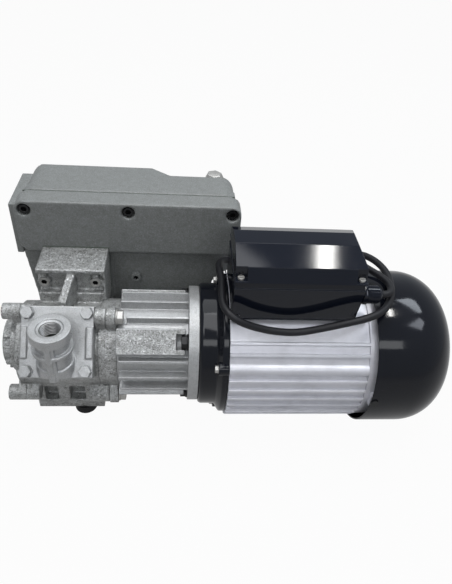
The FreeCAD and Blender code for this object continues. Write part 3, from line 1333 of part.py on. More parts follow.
def cowl_screws():
    """Four small screws through the cowl into the tail shield."""
    screws = []
    for angle in COWL_SCREW_ANGLES:
        shank = radial_rod(TAIL_RIGHT - 4, angle, s.cowl_radius - 8, s.cowl_radius + 0.5, s.small_screw)
        head = radial_rod(TAIL_RIGHT - 4, angle, s.cowl_radius + 0.1, s.cowl_radius + s.cap_height, s.small_screw * 1.9)
        screws.append(fuse(shank, head))
    sub_part("cowl_screws", group(*screws))


def stator_core():
    """The laminated stator core."""
    sub_part("stator_core", ring((s.core_start, 0, 0), s.stator_radius, s.stator_bore, s.core_length))


def stator_windings():
    """The end windings on both sides of the stator core."""
    inner, outer = s.stator_bore + 3, s.stator_radius - 5
    left = ring((s.core_start - s.winding_reach - 0.2, 0, 0), outer, inner, s.winding_reach)
    right = ring((s.core_start + s.core_length + 0.2, 0, 0), outer, inner, s.winding_reach)
    sub_part("stator_windings", group(left, right))


def motor_rotor():
    """The squirrel-cage rotor with its end rings."""
    radius = s.stator_bore - s.air_gap
    core = rod((s.core_start, 0, 0), radius, s.core_length)
    rings = [rod((s.core_start - 7, 0, 0), radius - 1, 8), rod((s.core_start + s.core_length - 1, 0, 0), radius - 1, 8)]
    bore = rod((s.core_start - 10, 0, 0), s.motor_bearing_bore + 2 + s.running_gap, s.core_length + 20)
    sub_part("motor_rotor", cut(fuse(core, *rings), bore))


def motor_shaft():
    """The motor shaft from the coupling to the fan."""
    bearing = s.motor_bearing_bore - s.running_gap
    middle = s.motor_bearing_bore + 2
    sub_part("motor_shaft", turned_body("MotorShaft", [
        (MOTOR_SHAFT_END, 0), (MOTOR_SHAFT_END, s.shaft_radius), (3, s.shaft_radius), (3, bearing),
        (s.motor_bearing_width + 4, bearing), (s.motor_bearing_width + 4, middle),
        (TAIL_RIGHT - s.motor_bearing_width - 1, middle), (TAIL_RIGHT - s.motor_bearing_width - 1, bearing),
        (TAIL_RIGHT + 1, bearing), (TAIL_RIGHT + 1, s.shaft_radius - 2),
        (s.fan_start + s.fan_width, s.shaft_radius - 2), (s.fan_start + s.fan_width, 0),
    ]))


def motor_bearings():
    """The two deep groove bearings of the motor."""
    bearings = []
    for start in (as_size(4.0), TAIL_RIGHT - 1 - s.motor_bearing_width):
        width = s.motor_bearing_width - 0.2
        outer = ring((start + 0.1, 0, 0), s.motor_bearing_radius, s.motor_bearing_bore, width)
        groove_inner = s.motor_bearing_bore + 4
        groove_outer = s.motor_bearing_radius - 4
        groove = ring((start, 0, 0), groove_outer, groove_inner, 1)
        bearings.append(cut(outer, groove))
    sub_part("motor_bearings", group(*bearings))


def cooling_fan():
    """The radial cooling fan on the tail of the shaft."""
    hub = rod((s.fan_start, 0, 0), 14, s.fan_width - 2)
    disc = rod((s.fan_start, 0, 0), s.fan_radius - 6, 2.5)
    blades = [radial_rib(s.fan_start + 1, s.fan_start + s.fan_width, 12, s.fan_radius, 2.2, 15 + 51.428571 * k)
              for k in range(7)]
    bore = rod((s.fan_start - 1, 0, 0), s.shaft_radius - 2 + s.running_gap, 60)
    sub_part("cooling_fan", cut(fuse(hub, disc, *blades), bore))


def fan_cowl():
    """The domed fan cowl with its slotted air inlet."""
    body = turned_body("CowlShell", [
        (COWL_RIM, s.cowl_radius - s.cowl_wall), (COWL_RIM, s.cowl_radius), (s.motor_length, s.cowl_radius),
        (s.motor_length, 0), (s.motor_length - s.cowl_wall, 0),
        (s.motor_length - s.cowl_wall, s.cowl_radius - s.cowl_wall),
    ])
    doc.recompute()
    outer = rounded_circle(body, s.cowl_dome, s.motor_length, s.cowl_radius)
    inner = rounded_circle(outer, s.cowl_dome - s.cowl_wall, s.motor_length - s.cowl_wall, s.cowl_radius - s.cowl_wall)
    slots = []
    for step in range(-4, 5):
        reach = math.sqrt(1 - (step / 4.9) ** 2)
        across = s.grille_radius * (step / 4.9)
        half = s.grille_radius * reach
        for side in (-1, 1):
            low, high = (1.6, half) if side > 0 else (-half, -1.6)
            slots.append(box((s.motor_length - s.cowl_wall - 6, low, across - s.grille_slot / 2),
                             (s.motor_length + 1, high, across + s.grille_slot / 2)))
    holes = [radial_rod(TAIL_RIGHT - 4, angle, s.cowl_radius - 4, s.cowl_radius + 2, s.small_screw + s.bolt_gap)
             for angle in COWL_SCREW_ANGLES]
    sub_part("fan_cowl", cut(inner, *slots, *holes))


def rounded_circle(item, radius, station, circle):
    """Rounds the one circular edge at a station and a radius."""
    doc.recompute()

    def chosen(edge):
        centre = getattr(edge.Curve, "Center", None)
        return centre is not None and abs(centre.x - station.number) < 1e-3 \
            and abs(edge.Curve.Radius - circle.number) < 1e-3

    return rounded(item, radius, chosen)


# Terminal box


def box_stage(inset, levels):
    """A stack of sloping blocks through levels of height, left, right and half-width."""
    stages = []
    for (low, left, right, half), (high, high_left, high_right, high_half) in zip(levels, levels[1:]):
        stages.append(frustum((left + inset, -(s.terminal_shift + half - inset)),
                              (right - inset, half - s.terminal_shift - inset),
                              (high_left + inset, -(s.terminal_shift + high_half - inset)),
                              (high_right - inset, high_half - s.terminal_shift - inset), low, high))
    return stages[0] if len(stages) == 1 else fuse(*stages)


def terminal_box_base():
    """The open lower half of the capacitor box, saddled on the motor frame, with a narrower collar."""
    foot, rim = s.terminal_foot_half_width, s.terminal_half_width
    left, right, joint = s.terminal_start, TERMINAL_RIGHT, s.terminal_joint
    top = joint + s.terminal_collar
    inset = s.terminal_collar_inset
    outer = box_stage(as_size(0), [(s.terminal_bottom, left, right - 3, foot), (joint, left, right, rim)])
    collar = box_stage(inset, [(joint - 1, left, right, rim), (top, left, right, rim)])
    floor = s.frame_fin_radius + 3
    hollow = box_stage(s.terminal_wall + inset, [(floor, left, right - 2, foot), (top + 0.01, left, right, rim)])
    saddle = rod((left - 5, 0, 0), s.frame_fin_radius + 1.1, s.terminal_length + 10)
    posts = [rod((x, y, floor - 1), 3.4, top - floor + 1, LEVEL) for x, y in lid_screw_places()]
    holes = [rod((x, y, top - 14), s.small_screw + s.bolt_gap, 15, LEVEL) for x, y in lid_screw_places()]
    wire_hole = rod((left + 30, 0, s.terminal_bottom), 7, 20, LEVEL)
    gland = rod((right - 16, -s.gland_side, s.gland_height), s.cable_diameter / 2 + 1.5, 30)
    shell = cut(fuse(outer, collar), hollow)
    sub_part("terminal_box_base", cut(fuse(shell, *posts), saddle, *holes, wire_hole, gland))


def lid_screw_places():
    """The X and Y of the four lid screws."""
    x_low, x_high = s.terminal_start + s.lid_notch / 2, TERMINAL_RIGHT - s.lid_notch / 2
    reach = s.terminal_half_width - s.terminal_collar_inset - 3.5
    front, back = -(s.terminal_shift + reach), reach - s.terminal_shift
    return [(x_low, front), (x_high, front), (x_low, back), (x_high, back)]


def terminal_box_lid():
    """The faceted hollow lid, notched at its corners for the screws."""
    rim, shoulder, crest = s.terminal_half_width, s.lid_shoulder_half_width, s.lid_top_half_width
    left, right = s.terminal_start, TERMINAL_RIGHT
    low = s.terminal_joint + s.terminal_collar + 0.2
    wall = s.terminal_wall

    def lid_form(inset, bottom):
        return box_stage(inset, [(bottom, left, right, rim), (s.lid_shoulder - inset * 0.5, left, right - 1, shoulder),
                                 (s.lid_top - inset, left, right - 7, crest)])

    outer = lid_form(as_size(0), low)
    seats = []
    notches = []
    holes = []
    for x, y in lid_screw_places():
        at_left = x.number < (s.terminal_start + s.terminal_length / 2).number
        at_front = y.number < -s.terminal_shift.number
        inner_x = (left, left + s.lid_notch) if at_left else (right - s.lid_notch, right)
        front, back = -(s.terminal_shift + rim), rim - s.terminal_shift
        inner_y = (front, front + s.lid_notch_depth) if at_front else (back - s.lid_notch_depth, back)
        seats.append(box((inner_x[0] - 2, inner_y[0] - 3.4, low), (inner_x[1] + 2, inner_y[1] + 3.4, s.lid_shoulder)))
        notches.append(box((inner_x[0] - 5 * at_left, inner_y[0] - 5 * at_front, low + 1.5),
                           (inner_x[1] + 5 * (not at_left), inner_y[1] + 5 * (not at_front), s.lid_top)))
        notches.append(rod((x, y, low + 1.5), s.small_screw * 1.5 + s.bolt_gap, 6, LEVEL))
        holes.append(rod((x, y, low - 1), s.small_screw + s.bolt_gap, 8, LEVEL))
    keep = common(fuse_all(seats), lid_form(as_size(0), low))
    shell = fuse(cut(outer, lid_form(wall, low - 0.01)), keep)
    sub_part("terminal_box_lid", cut(shell, *notches, *holes))


def lid_screws():
    """Four pan-head screws of the lid."""
    seat = s.terminal_joint + s.terminal_collar + 1.7
    screws = []
    for x, y in lid_screw_places():
        head = rod((x, y, seat), s.small_screw * 1.5, 2.2, LEVEL)
        shank = rod((x, y, seat - 13), s.small_screw, 13.5, LEVEL)
        slot = box((x - 3.2, y - 0.4, seat + 1.4), (x + 3.2, y + 0.4, seat + 3))
        screws.append(cut(fuse(head, shank), slot))
    sub_part("lid_screws", group(*screws))


def cable_gland():
    """The cable gland: its locking collar and its ribbed nut."""
    start = TERMINAL_RIGHT + 0.2
    axis = (-s.gland_side, s.gland_height)
    collar = hexagon((start, *axis), s.gland_radius * 2, 4, TO_X)
    nut = rod((start + 4, *axis), s.gland_radius - 0.5, s.gland_length - 8)
    tip = cone((start + s.gland_length - 4, *axis), s.gland_radius - 0.5, s.cable_diameter / 2 + 1.5, 4)
    spigot = rod((start, *axis), s.cable_diameter / 2 + 1.4, 12, TO_MINUS_X)
    hole = rod((start - 12, *axis), s.cable_diameter / 2 - 0.2, 12 + s.gland_length - 2)
    sub_part("cable_gland", cut(fuse(collar, nut, tip, spigot), hole))


def run_capacitor():
    """The round capacitor in the terminal box."""
    floor = s.frame_fin_radius + 3
    middle = s.terminal_start + s.terminal_length / 2
    sub_part("run_capacitor", rod((middle - s.capacitor_length / 2, 4, floor + s.capacitor_radius + 0.2),
                                  s.capacitor_radius, s.capacitor_length))


# Feet


def pump_foot():
    """The rubber foot under the cylinder's sump."""
    height = s.axis_height - s.sump_bottom
    pad = rod((-s.foot_side, -s.foot_front, -s.axis_height), s.foot_radius, height, LEVEL)
    stud = rod((-s.foot_side, -s.foot_front, -s.sump_bottom - 2), s.medium_screw, 12, LEVEL)
    sub_part("pump_foot", fuse(pad, stud))


def box_feet():
    """Two rubber feet under the oil box."""
    feet = []
    for x, y in box_foot_places():
        pad = rod((x, y, -s.axis_height), s.box_foot_radius, s.box_bottom + s.axis_height, LEVEL)
        stud = rod((x, y, s.box_bottom - 2), s.medium_screw, s.box_wall + 1.5, LEVEL)
        feet.append(fuse(pad, stud))
    sub_part("box_feet", group(*feet))


def motor_foot():
    """The rubber saddle under the motor's tail."""
    right = COWL_RIM - 1.5
    block = box((right - s.motor_foot_length, -s.motor_foot_half_width, -s.axis_height),
                (right, s.motor_foot_half_width, -s.frame_radius + 10))
    saddle = rod((right - s.motor_foot_length - 5, 0, 0), s.frame_fin_radius + 0.2, s.motor_foot_length + 10)
    sub_part("motor_foot", cut(block, saddle))


# Cable: hand-chosen points in machine axes, the first at the gland's tip, the last on the coil
CABLE_POINTS = [
    (167.7, -31.0, 97.0),
    (173.0, -31.0, 97.0),
    (179.0, -26.0, 96.7),
    (181.0, -14.0, 96.0),
    (176.5, -1.0, 95.0),
    (168.5, 11.0, 93.5),
    (162.0, 27.0, 90.0),
    (153.0, 45.0, 85.0),
    (131.0, 56.0, 76.0),
    (103.0, 60.0, 67.0),
    (73.0, 59.5, 62.5),
    (46.5, 57.0, 66.0),
    (22.5, 46.0, 76.0),
    (17.8, 24.0, 83.5),
    (20.4, 3.0, 86.3),
    (19.4, -17.0, 87.5),
    (18.8, -39.0, 88.2),
    (24.0, -50.0, 87.0),
    (34.0, -54.8, 81.6),
    (50.0, -53.0, 73.2),
    (68.0, -52.0, 67.8),
    (88.0, -51.5, 65.8),
    (110.0, -52.0, 71.8),
    (132.0, -53.5, 80.6),
    (153.5, -53.5, 88.0),
    (171.0, -42.0, 88.0),
    (182.3, -23.0, 88.0),
    (187.8, -2.0, 88.0),
    (188.2, 18.0, 88.0),
    (182.0, 37.0, 87.0),
    (171.5, 53.5, 83.0),
    (160.5, 68.0, 69.0),
    (152.0, 79.0, 47.0),
    (146.5, 84.5, 21.0),
    (141.5, 90.0, -8.0),
    (134.0, 94.5, -36.0),
    (125.0, 98.0, -58.0),
    (113.0, 100.8, -74.0),
    (98.5, 101.8, -80.0),
]
COIL_MIDDLE = (106.0, 136.0)
COIL_INNER = 31.0
COIL_OUTER = 53.5
ARC_SHARE = 0.45


def round_tube(wire, points, radius):
    """A round solid along a wire that starts at the first point."""
    profile = Part.Wire(Part.makeCircle(radius, points[0], points[1] - points[0]))
    return wire.makePipeShell([profile], True, False)


def rounded_wire(points, report=False):
    """Straight runs joined by arcs as large as their two runs allow, and the smallest arc radius."""
    edges = []
    smallest = None
    here = points[0]
    for before, corner, after in zip(points, points[1:], points[2:]):
        back, ahead = before - corner, after - corner
        turn = math.pi - back.getAngle(ahead)
        reach = ARC_SHARE * min(back.Length, ahead.Length)
        radius = reach / math.tan(turn / 2)
        if report:
            print(f"cable corner ({corner.x:.0f}, {corner.y:.0f}, {corner.z:.0f}): run {back.Length:.1f}, "
                  f"turn {math.degrees(turn):.0f}, radius {radius:.1f}")
        smallest = radius if smallest is None else min(smallest, radius)
        start = corner + back.normalize() * reach
        end = corner + ahead.normalize() * reach
        inwards = (start + end) * 0.5 - corner
        centre = corner + inwards.normalize() * math.hypot(reach, radius)
        middle = centre + (corner - centre).normalize() * radius
        edges.append(Part.LineSegment(here, start).toShape())
        edges.append(Part.Arc(start, middle, end).toShape())
        here = end
    edges.append(Part.LineSegment(here, points[-1]).toShape())
    return Part.Wire(edges), smallest


def solid_feature(node, shape):
    """A node from a shape made directly, with its Placement set after the shape."""
    item = doc.addObject("Part::Feature", "Cord")
    item.Shape = shape
    sub_part(node, item)


def power_cable():
    """The supply cable: round the terminal box, down behind the motor to its coil, then to the plug."""
    points = [Vector(*point) for point in CABLE_POINTS]
    wire, smallest = rounded_wire(points, report=True)
    tube = round_tube(wire, points, s.cable_diameter.number / 2)
    section = math.pi * (s.cable_diameter.number / 2) ** 2
    print(f"cable length {wire.Length:.0f}, smallest radius {smallest:.1f}, "
          f"volume share {tube.Volume / (section * wire.Length):.4f}")
    radius = s.cable_diameter.number / 2
    tail_x = COIL_MIDDLE[0] + TAIL_SIDE
    tail = Part.makeCylinder(radius, TAIL_END - COIL_MIDDLE[1] - TAIL_START,
                             Vector(tail_x, COIL_MIDDLE[1] + TAIL_START, radius - s.axis_height.number),
                             Vector(0, 1, 0))
    solid_feature("power_cable", Part.Compound([tube, tail]))


TAIL_SIDE = -50.0
TAIL_START = 16.0
TAIL_END = 172.0


def cable_coil():
    """The put-away length of cable, turns side by side, as one closed ring."""
    low = -s.axis_height.number
    height = s.cable_diameter.number
    centre = Vector(*COIL_MIDDLE, low)
    shape = Part.makeCylinder(COIL_OUTER, height, centre).cut(Part.makeCylinder(COIL_INNER, height, centre))
    solid_feature("cable_coil", shape)


def power_plug():
    """A plain moulded plug with three flat pins and a tapered strain relief, lying by the coil."""
    x = COIL_MIDDLE[0] + TAIL_SIDE
    low = -s.axis_height.number
    radius = s.cable_diameter.number / 2
    relief = Part.makeCone(radius + 0.4, radius + 3, 14, Vector(x, TAIL_END, low + radius + 3), Vector(0, 1, 0))
    relief = relief.common(Part.makeBox(40, 40, 40, Vector(x - 20, TAIL_END - 5, low)))
    body = Part.makeBox(30, 24, 17, Vector(x - 15, TAIL_END + 13, low))
    upright = [edge for edge in body.Edges if abs(edge.Vertexes[0].Z - edge.Vertexes[-1].Z) > 1]
    body = body.makeFillet(7, upright)
    pins = [Part.makeBox(1.6, 16, 6.3, Vector(x + side - 0.8, TAIL_END + 36, low + 6)) for side in (-8, 8)]
    pins.append(Part.makeBox(6.3, 18, 1.6, Vector(x - 3.15, TAIL_END + 36, low + 2.5)))
    shape = relief.fuse([body] + pins)
    solid_feature("power_plug", shape)


def build():
    """Builds every sub-part."""
    cylinder_housing()
    end_cover()
    end_cover_screws()
    drive_end_plate()
    drive_plate_bolts()
    pump_rotor()
    for number, angle in enumerate(VANE_ANGLES, 1):
        vane(number, angle)
    pump_bearings()
    shaft_seal()
    inlet_flange()
    inlet_gasket()
    inlet_flange_bolts()
    inlet_strainer()
    valve_disc()
    valve_spring()
    exhaust_leaf()
    exhaust_leaf_stop()
    block_screws()
    oil_box_cover()
    box_gaskets()
    cover_screws()
    oil_box_housing()
    filter_cover()
    filter_cover_screws()
    exhaust_filter()
    filler_plug()
    drain_plug()
    sight_glass()
    float_valve()
    lantern()
    lantern_screws()
    flange_bolts()
    couplings()
    motor_front_shield()
    motor_frame()
    tie_bolts()
    motor_rear_shield()
    cowl_screws()
    stator_core()
    stator_windings()
    motor_rotor()
    motor_shaft()
    motor_bearings()
    cooling_fan()
    fan_cowl()
    terminal_box_base()
    terminal_box_lid()
    lid_screws()
    cable_gland()
    run_capacitor()
    pump_foot()
    box_feet()
    motor_foot()
    power_cable()
    cable_coil()
    power_plug()


def check_and_write():
    """Checks every object, then writes one file for each sub-part."""
    doc.recompute()
    for item in doc.Objects:
        if "Invalid" in item.State or "Error" in item.State:
            raise RuntimeError(f"{item.Name} ({item.Label}) failed: {item.State}")
    for node, item in PARTS:
        if item.Shape.isNull() or not item.Shape.isValid() or not item.Shape.Solids:
            raise RuntimeError(f"{node} has no valid shape")
    os.makedirs("parts", exist_ok=True)
    for node, item in PARTS:
        item.Shape.exportStep(f"parts/{node}.step")
    print(f"{len(PARTS)} sub-parts")


build()
check_and_write()
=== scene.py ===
"""The looks of a rotary vane vacuum pump: its castings, motor, terminal box, fasteners and supply cable."""
import json
import logging
import math
from collections.abc import Callable, Iterator, Sequence
from contextlib import contextmanager
from dataclasses import dataclass
from enum import Enum

import bmesh
import bpy
from mathutils import Matrix, Vector


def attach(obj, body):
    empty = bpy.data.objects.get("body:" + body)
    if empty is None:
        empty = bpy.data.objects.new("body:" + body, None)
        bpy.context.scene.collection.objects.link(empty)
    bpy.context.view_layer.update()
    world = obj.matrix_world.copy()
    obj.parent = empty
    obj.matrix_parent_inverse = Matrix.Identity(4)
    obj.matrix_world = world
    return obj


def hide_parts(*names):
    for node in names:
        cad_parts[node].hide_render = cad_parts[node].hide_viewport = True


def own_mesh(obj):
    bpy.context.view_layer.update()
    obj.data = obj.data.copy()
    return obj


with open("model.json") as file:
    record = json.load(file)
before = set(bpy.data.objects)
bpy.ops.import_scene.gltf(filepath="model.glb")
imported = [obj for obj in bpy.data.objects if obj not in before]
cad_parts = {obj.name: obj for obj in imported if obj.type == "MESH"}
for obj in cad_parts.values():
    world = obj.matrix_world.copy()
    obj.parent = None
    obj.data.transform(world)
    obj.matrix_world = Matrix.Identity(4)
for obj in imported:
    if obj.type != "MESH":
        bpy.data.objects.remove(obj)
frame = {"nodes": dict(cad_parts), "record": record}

logging.basicConfig(level=logging.INFO, format="%(message)s")
LOG = logging.getLogger("pump")

MM = 0.001
# The middle of the shaft at the motor flange, in millimetres in the row frame.
MACHINE_ORIGIN = Vector((-31.0, -30.85, 88.0))
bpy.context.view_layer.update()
FULL_TURN = 2 * math.pi
HEXAGON = 6
SMALL_ROUND = 40
LARGE_ROUND = 128
# The angle in degrees past which an edge counts as sharp on most pieces.
SHARP = 40.0
SAME_PLACE = 0.000002
SAME_CORNER = 0.000004
Pair = tuple[float, float]
Triple = tuple[float, float, float]
Socket = bpy.types.NodeSocket
Piece = bpy.types.Object
Test = Callable[[Vector, Vector], bool]


def at(x: float, y: float, z: float) -> Vector:
    """A point given in millimetres from the shaft line at the motor flange, in metres in the row frame."""
    return (Vector((x, y, z)) + MACHINE_ORIGIN) * MM


def tilted(place: Vector, angle: float) -> Matrix:
    """The transform that turns a shape by so many degrees about X and moves it to a place."""
    return Matrix.Translation(place) @ Matrix.Rotation(math.radians(angle), 4, "X")


class Axis(Enum):
    """A direction along which a round piece is built."""

    X = (1.0, 0.0, 0.0)
    Y = (0.0, 1.0, 0.0)
    Z = (0.0, 0.0, 1.0)
    LEFT = (-1.0, 0.0, 0.0)

    @property
    def vector(self) -> Vector:
        """The direction as a vector."""
        return Vector(self.value)


class Cut(Enum):
    """What a tool leaves of the piece that it cuts."""

    OUTSIDE = "DIFFERENCE"
    INSIDE = "INTERSECT"


class Bench:
    """Mesh work by operators: each piece starts from a primitive and is shaped in edit mode."""

    @staticmethod
    def clear() -> None:
        """Deselects every object."""
        for item in bpy.context.selected_objects:
            item.select_set(False)

    @classmethod
    def activate(cls, piece: Piece) -> None:
        """Makes one object the only selected and active one.

        Args:
            piece: The object.
        """
        cls.clear()
        piece.select_set(True)
        bpy.context.view_layer.objects.active = piece

    @classmethod
    @contextmanager
    def editing(cls, piece: Piece) -> Iterator[None]:
        """Edit mode on one piece, which starts selected all over.

        Args:
            piece: The object to edit.

        Returns:
            A context that ends in object mode.
        """
        cls.activate(piece)
        bpy.ops.object.mode_set(mode="EDIT")
        bpy.ops.mesh.select_all(action="SELECT")
        yield
        bpy.ops.object.mode_set(mode="OBJECT")

    @classmethod
    def new(cls, name: str, data: bpy.types.ID) -> Piece:
        """A new object in the scene, with a mesh, curve, lens or light as its data.

        Args:
            name: The object's name.
            data: What it holds.

        Returns:
            The new object.
        """
        piece = bpy.data.objects.new(name, data)
        bpy.context.scene.collection.objects.link(piece)
        return piece

    @classmethod
    def settle(cls, piece: Piece, name: str) -> Piece:
        """Names a piece and moves its place into its mesh.

        Args:
            piece: The object to settle.
            name: Its new name.

        Returns:
            The same object, with its origin at the row's origin.
        """
        cls.activate(piece)
        bpy.ops.object.transform_apply(location=True, rotation=True, scale=True)
        piece.name = name
        piece.data.name = name
        return piece

    @classmethod
    def rod(cls, name: str, start: Vector, axis: Axis, length: float, radius: float,
            end_radius: float | None = None, sides: int = 64) -> Piece:
        """A round or many-sided bar from a start point, sizes in metres.

        Args:
            name: The piece's name.
            start: The middle of its first face.
            axis: The way it points.
            length: Its length.
            radius: The radius of its first face.
            end_radius: The radius of its far face, when it tapers.
            sides: How many sides it has.

        Returns:
            The new mesh object.
        """
        way = axis.vector
        cls.clear()
        bpy.ops.mesh.primitive_cone_add(vertices=sides, radius1=radius,
                                        radius2=radius if end_radius is None else end_radius, depth=length,
                                        end_fill_type="NGON", location=start + way * (length / 2),
                                        rotation=way.to_track_quat("Z", "Y").to_euler())
        return cls.settle(bpy.context.active_object, name)

    @classmethod
    def block(cls, name: str, low: Vector, high: Vector) -> Piece:
        """A block between two corners.

        Args:
            name: The piece's name.
            low: Its lowest corner, in metres.
            high: Its highest corner, in metres.

        Returns:
            The new mesh object.
        """
        cls.clear()
        bpy.ops.mesh.primitive_cube_add(size=1.0, location=(low + high) / 2)
        piece = bpy.context.active_object
        piece.scale = high - low
        return cls.settle(piece, name)

    @staticmethod
    def pick(piece: Piece, test: Test) -> None:
        """Selects only the faces that a test accepts.

        Args:
            piece: The object, in edit mode.
            test: Called with a face's middle and normal.
        """
        bpy.ops.mesh.select_mode(type="FACE")
        bpy.ops.mesh.select_all(action="DESELECT")
        work = bmesh.from_edit_mesh(piece.data)
        for face in work.faces:
            if test(face.calc_center_median(), face.normal):
                face.select = True
        work.select_flush(True)
        bmesh.update_edit_mesh(piece.data)

    @classmethod
    def apply(cls, piece: Piece, kind: str, **settings: object) -> Piece:
        """Adds a modifier with settings and applies it.

        Args:
            piece: The object that gets it.
            kind: The modifier's type.
            **settings: The modifier's values.

        Returns:
            The same object.
        """
        cls.activate(piece)
        modifier = piece.modifiers.new(kind.title(), kind)
        for key, value in settings.items():
            setattr(modifier, key, value)
        bpy.ops.object.modifier_apply(modifier=modifier.name)
        return piece

    @classmethod
    def soften(cls, piece: Piece, width: float, segments: int = 2, angle: float = 32.0,
               clamp: bool = False) -> Piece:
        """Rounds the sharp edges of a piece and shades it smooth between them.

        Args:
            piece: The object.
            width: The width of the rounding, in metres.
            segments: How many strips the rounding has.
            angle: Edges sharper than this many degrees are rounded.
            clamp: Whether the rounding stays narrower than the faces beside it.

        Returns:
            The same object.
        """
        cls.apply(piece, "BEVEL", width=width, segments=segments, limit_method="ANGLE",
                  angle_limit=math.radians(angle), use_clamp_overlap=clamp, loop_slide=False)
        cls.smooth(piece)
        return cls.apply(piece, "WEIGHTED_NORMAL", keep_sharp=True, weight=50)

    @classmethod
    def smooth(cls, piece: Piece, angle: float = 34.0) -> Piece:
        """Shades a piece smooth except at sharp edges.

        Args:
            piece: The object.
            angle: Edges sharper than this many degrees stay sharp.

        Returns:
            The same object.
        """
        cls.activate(piece)
        bpy.ops.object.shade_smooth_by_angle(angle=math.radians(angle))
        return piece

    @classmethod
    def copy_of(cls, name: str, nodes: Sequence[str], flat: float = 0.6) -> Piece:
        """A merged copy of CAD nodes, with its flat faces whole again.

        Args:
            name: The new piece's name.
            nodes: The nodes to copy.
            flat: Faces that meet within this many degrees become one.

        Returns:
            The new mesh object.
        """
        piece = cls.join(name, [cls.new(f"{name}_{node}", frame["nodes"][node].data.copy())
                                for node in nodes])
        with cls.editing(piece):
            bpy.ops.mesh.remove_doubles(threshold=SAME_CORNER)
            if flat:
                bpy.ops.mesh.dissolve_limited(angle_limit=math.radians(flat))
        piece.data.materials.clear()
        return piece

    @classmethod
    def softened(cls, name: str, node: str, width: float, segments: int, angle: float) -> Piece:
        """A merged copy of one CAD node with rounded edges.

        Args:
            name: The new piece's name.
            node: The node to copy.
            width: The width of the rounding, in millimetres.
            segments: How many strips the rounding has.
            angle: Edges sharper than this many degrees are rounded.

        Returns:
            The new mesh object.
        """
        return cls.soften(cls.copy_of(name, [node]), width * MM, segments, angle)

    @classmethod
    def join(cls, name: str, pieces: Sequence[Piece]) -> Piece:
        """Several mesh objects as one, under a new name.

        Args:
            name: The name of the whole.
            pieces: The objects. The first one takes in the others.

        Returns:
            The joined object.
        """
        cls.activate(pieces[0])
        for piece in pieces[1:]:
            piece.select_set(True)
        if len(pieces) > 1:
            bpy.ops.object.join()
        joined = bpy.context.active_object
        joined.name = name
        joined.data.name = name
        return joined

    @classmethod
    def carve(cls, piece: Piece, tool: Piece, cut: Cut = Cut.OUTSIDE) -> Piece:
        """Keeps what of a piece is outside or inside a tool, and removes the tool.

        Args:
            piece: The object to cut.
            tool: The closed object that cuts it.
            cut: Which side of the tool stays.

        Returns:
            The cut piece.
        """
        cls.apply(piece, "BOOLEAN", object=tool, operation=cut.value, solver="EXACT")
        bpy.data.objects.remove(tool)
        return piece

    @classmethod
    def lathe(cls, name: str, outline: Sequence[Pair], centre: Vector, axis: Axis = Axis.X,
              steps: int = 96) -> Piece:
        """A turned piece.

        Args:
            name: The piece's name.
            outline: Places along the axis and radii, in millimetres. Its first and last point are joined
                when both have a radius.
            centre: A point on the axis, in metres, from which places are measured.
            axis: The axis of the turning.
            steps: How many strips there are around it.

        Returns:
            The new closed mesh object.
        """
        way = axis.vector
        side = Vector((0.0, 0.0, 1.0)) if abs(way.z) < 0.5 else Vector((1.0, 0.0, 0.0))
        mesh = bpy.data.meshes.new(name)
        points = [centre + way * (station * MM) + side * (radius * MM) for station, radius in outline]
        closed = outline[0][1] > 0 and outline[-1][1] > 0
        edges = [(i, i + 1) for i in range(len(points) - 1)] + ([(len(points) - 1, 0)] if closed else [])
        mesh.from_pydata(points, edges, [])
        piece = cls.new(name, mesh)
        with cls.editing(piece):
            bpy.ops.mesh.spin(steps=steps, angle=FULL_TURN, center=centre, axis=way)
            bpy.ops.mesh.select_all(action="SELECT")
            bpy.ops.mesh.remove_doubles(threshold=SAME_PLACE)
            bpy.ops.mesh.normals_make_consistent(inside=False)
        return piece

    @classmethod
    def cast(cls, piece: Piece, grain: float, passes: int = 4) -> Piece:
        """Turns a piece into one skin with small fillets everywhere, as a sand casting has.

        Args:
            piece: A closed mesh, or several that overlap.
            grain: The size of the skin's faces, in metres.
            passes: How often the skin is smoothed.

        Returns:
            The same object.
        """
        cls.apply(piece, "REMESH", mode="VOXEL", voxel_size=grain, adaptivity=0.0)
        cls.apply(piece, "SMOOTH", factor=0.5, iterations=passes)
        cls.activate(piece)
        bpy.ops.object.shade_smooth()
        return piece


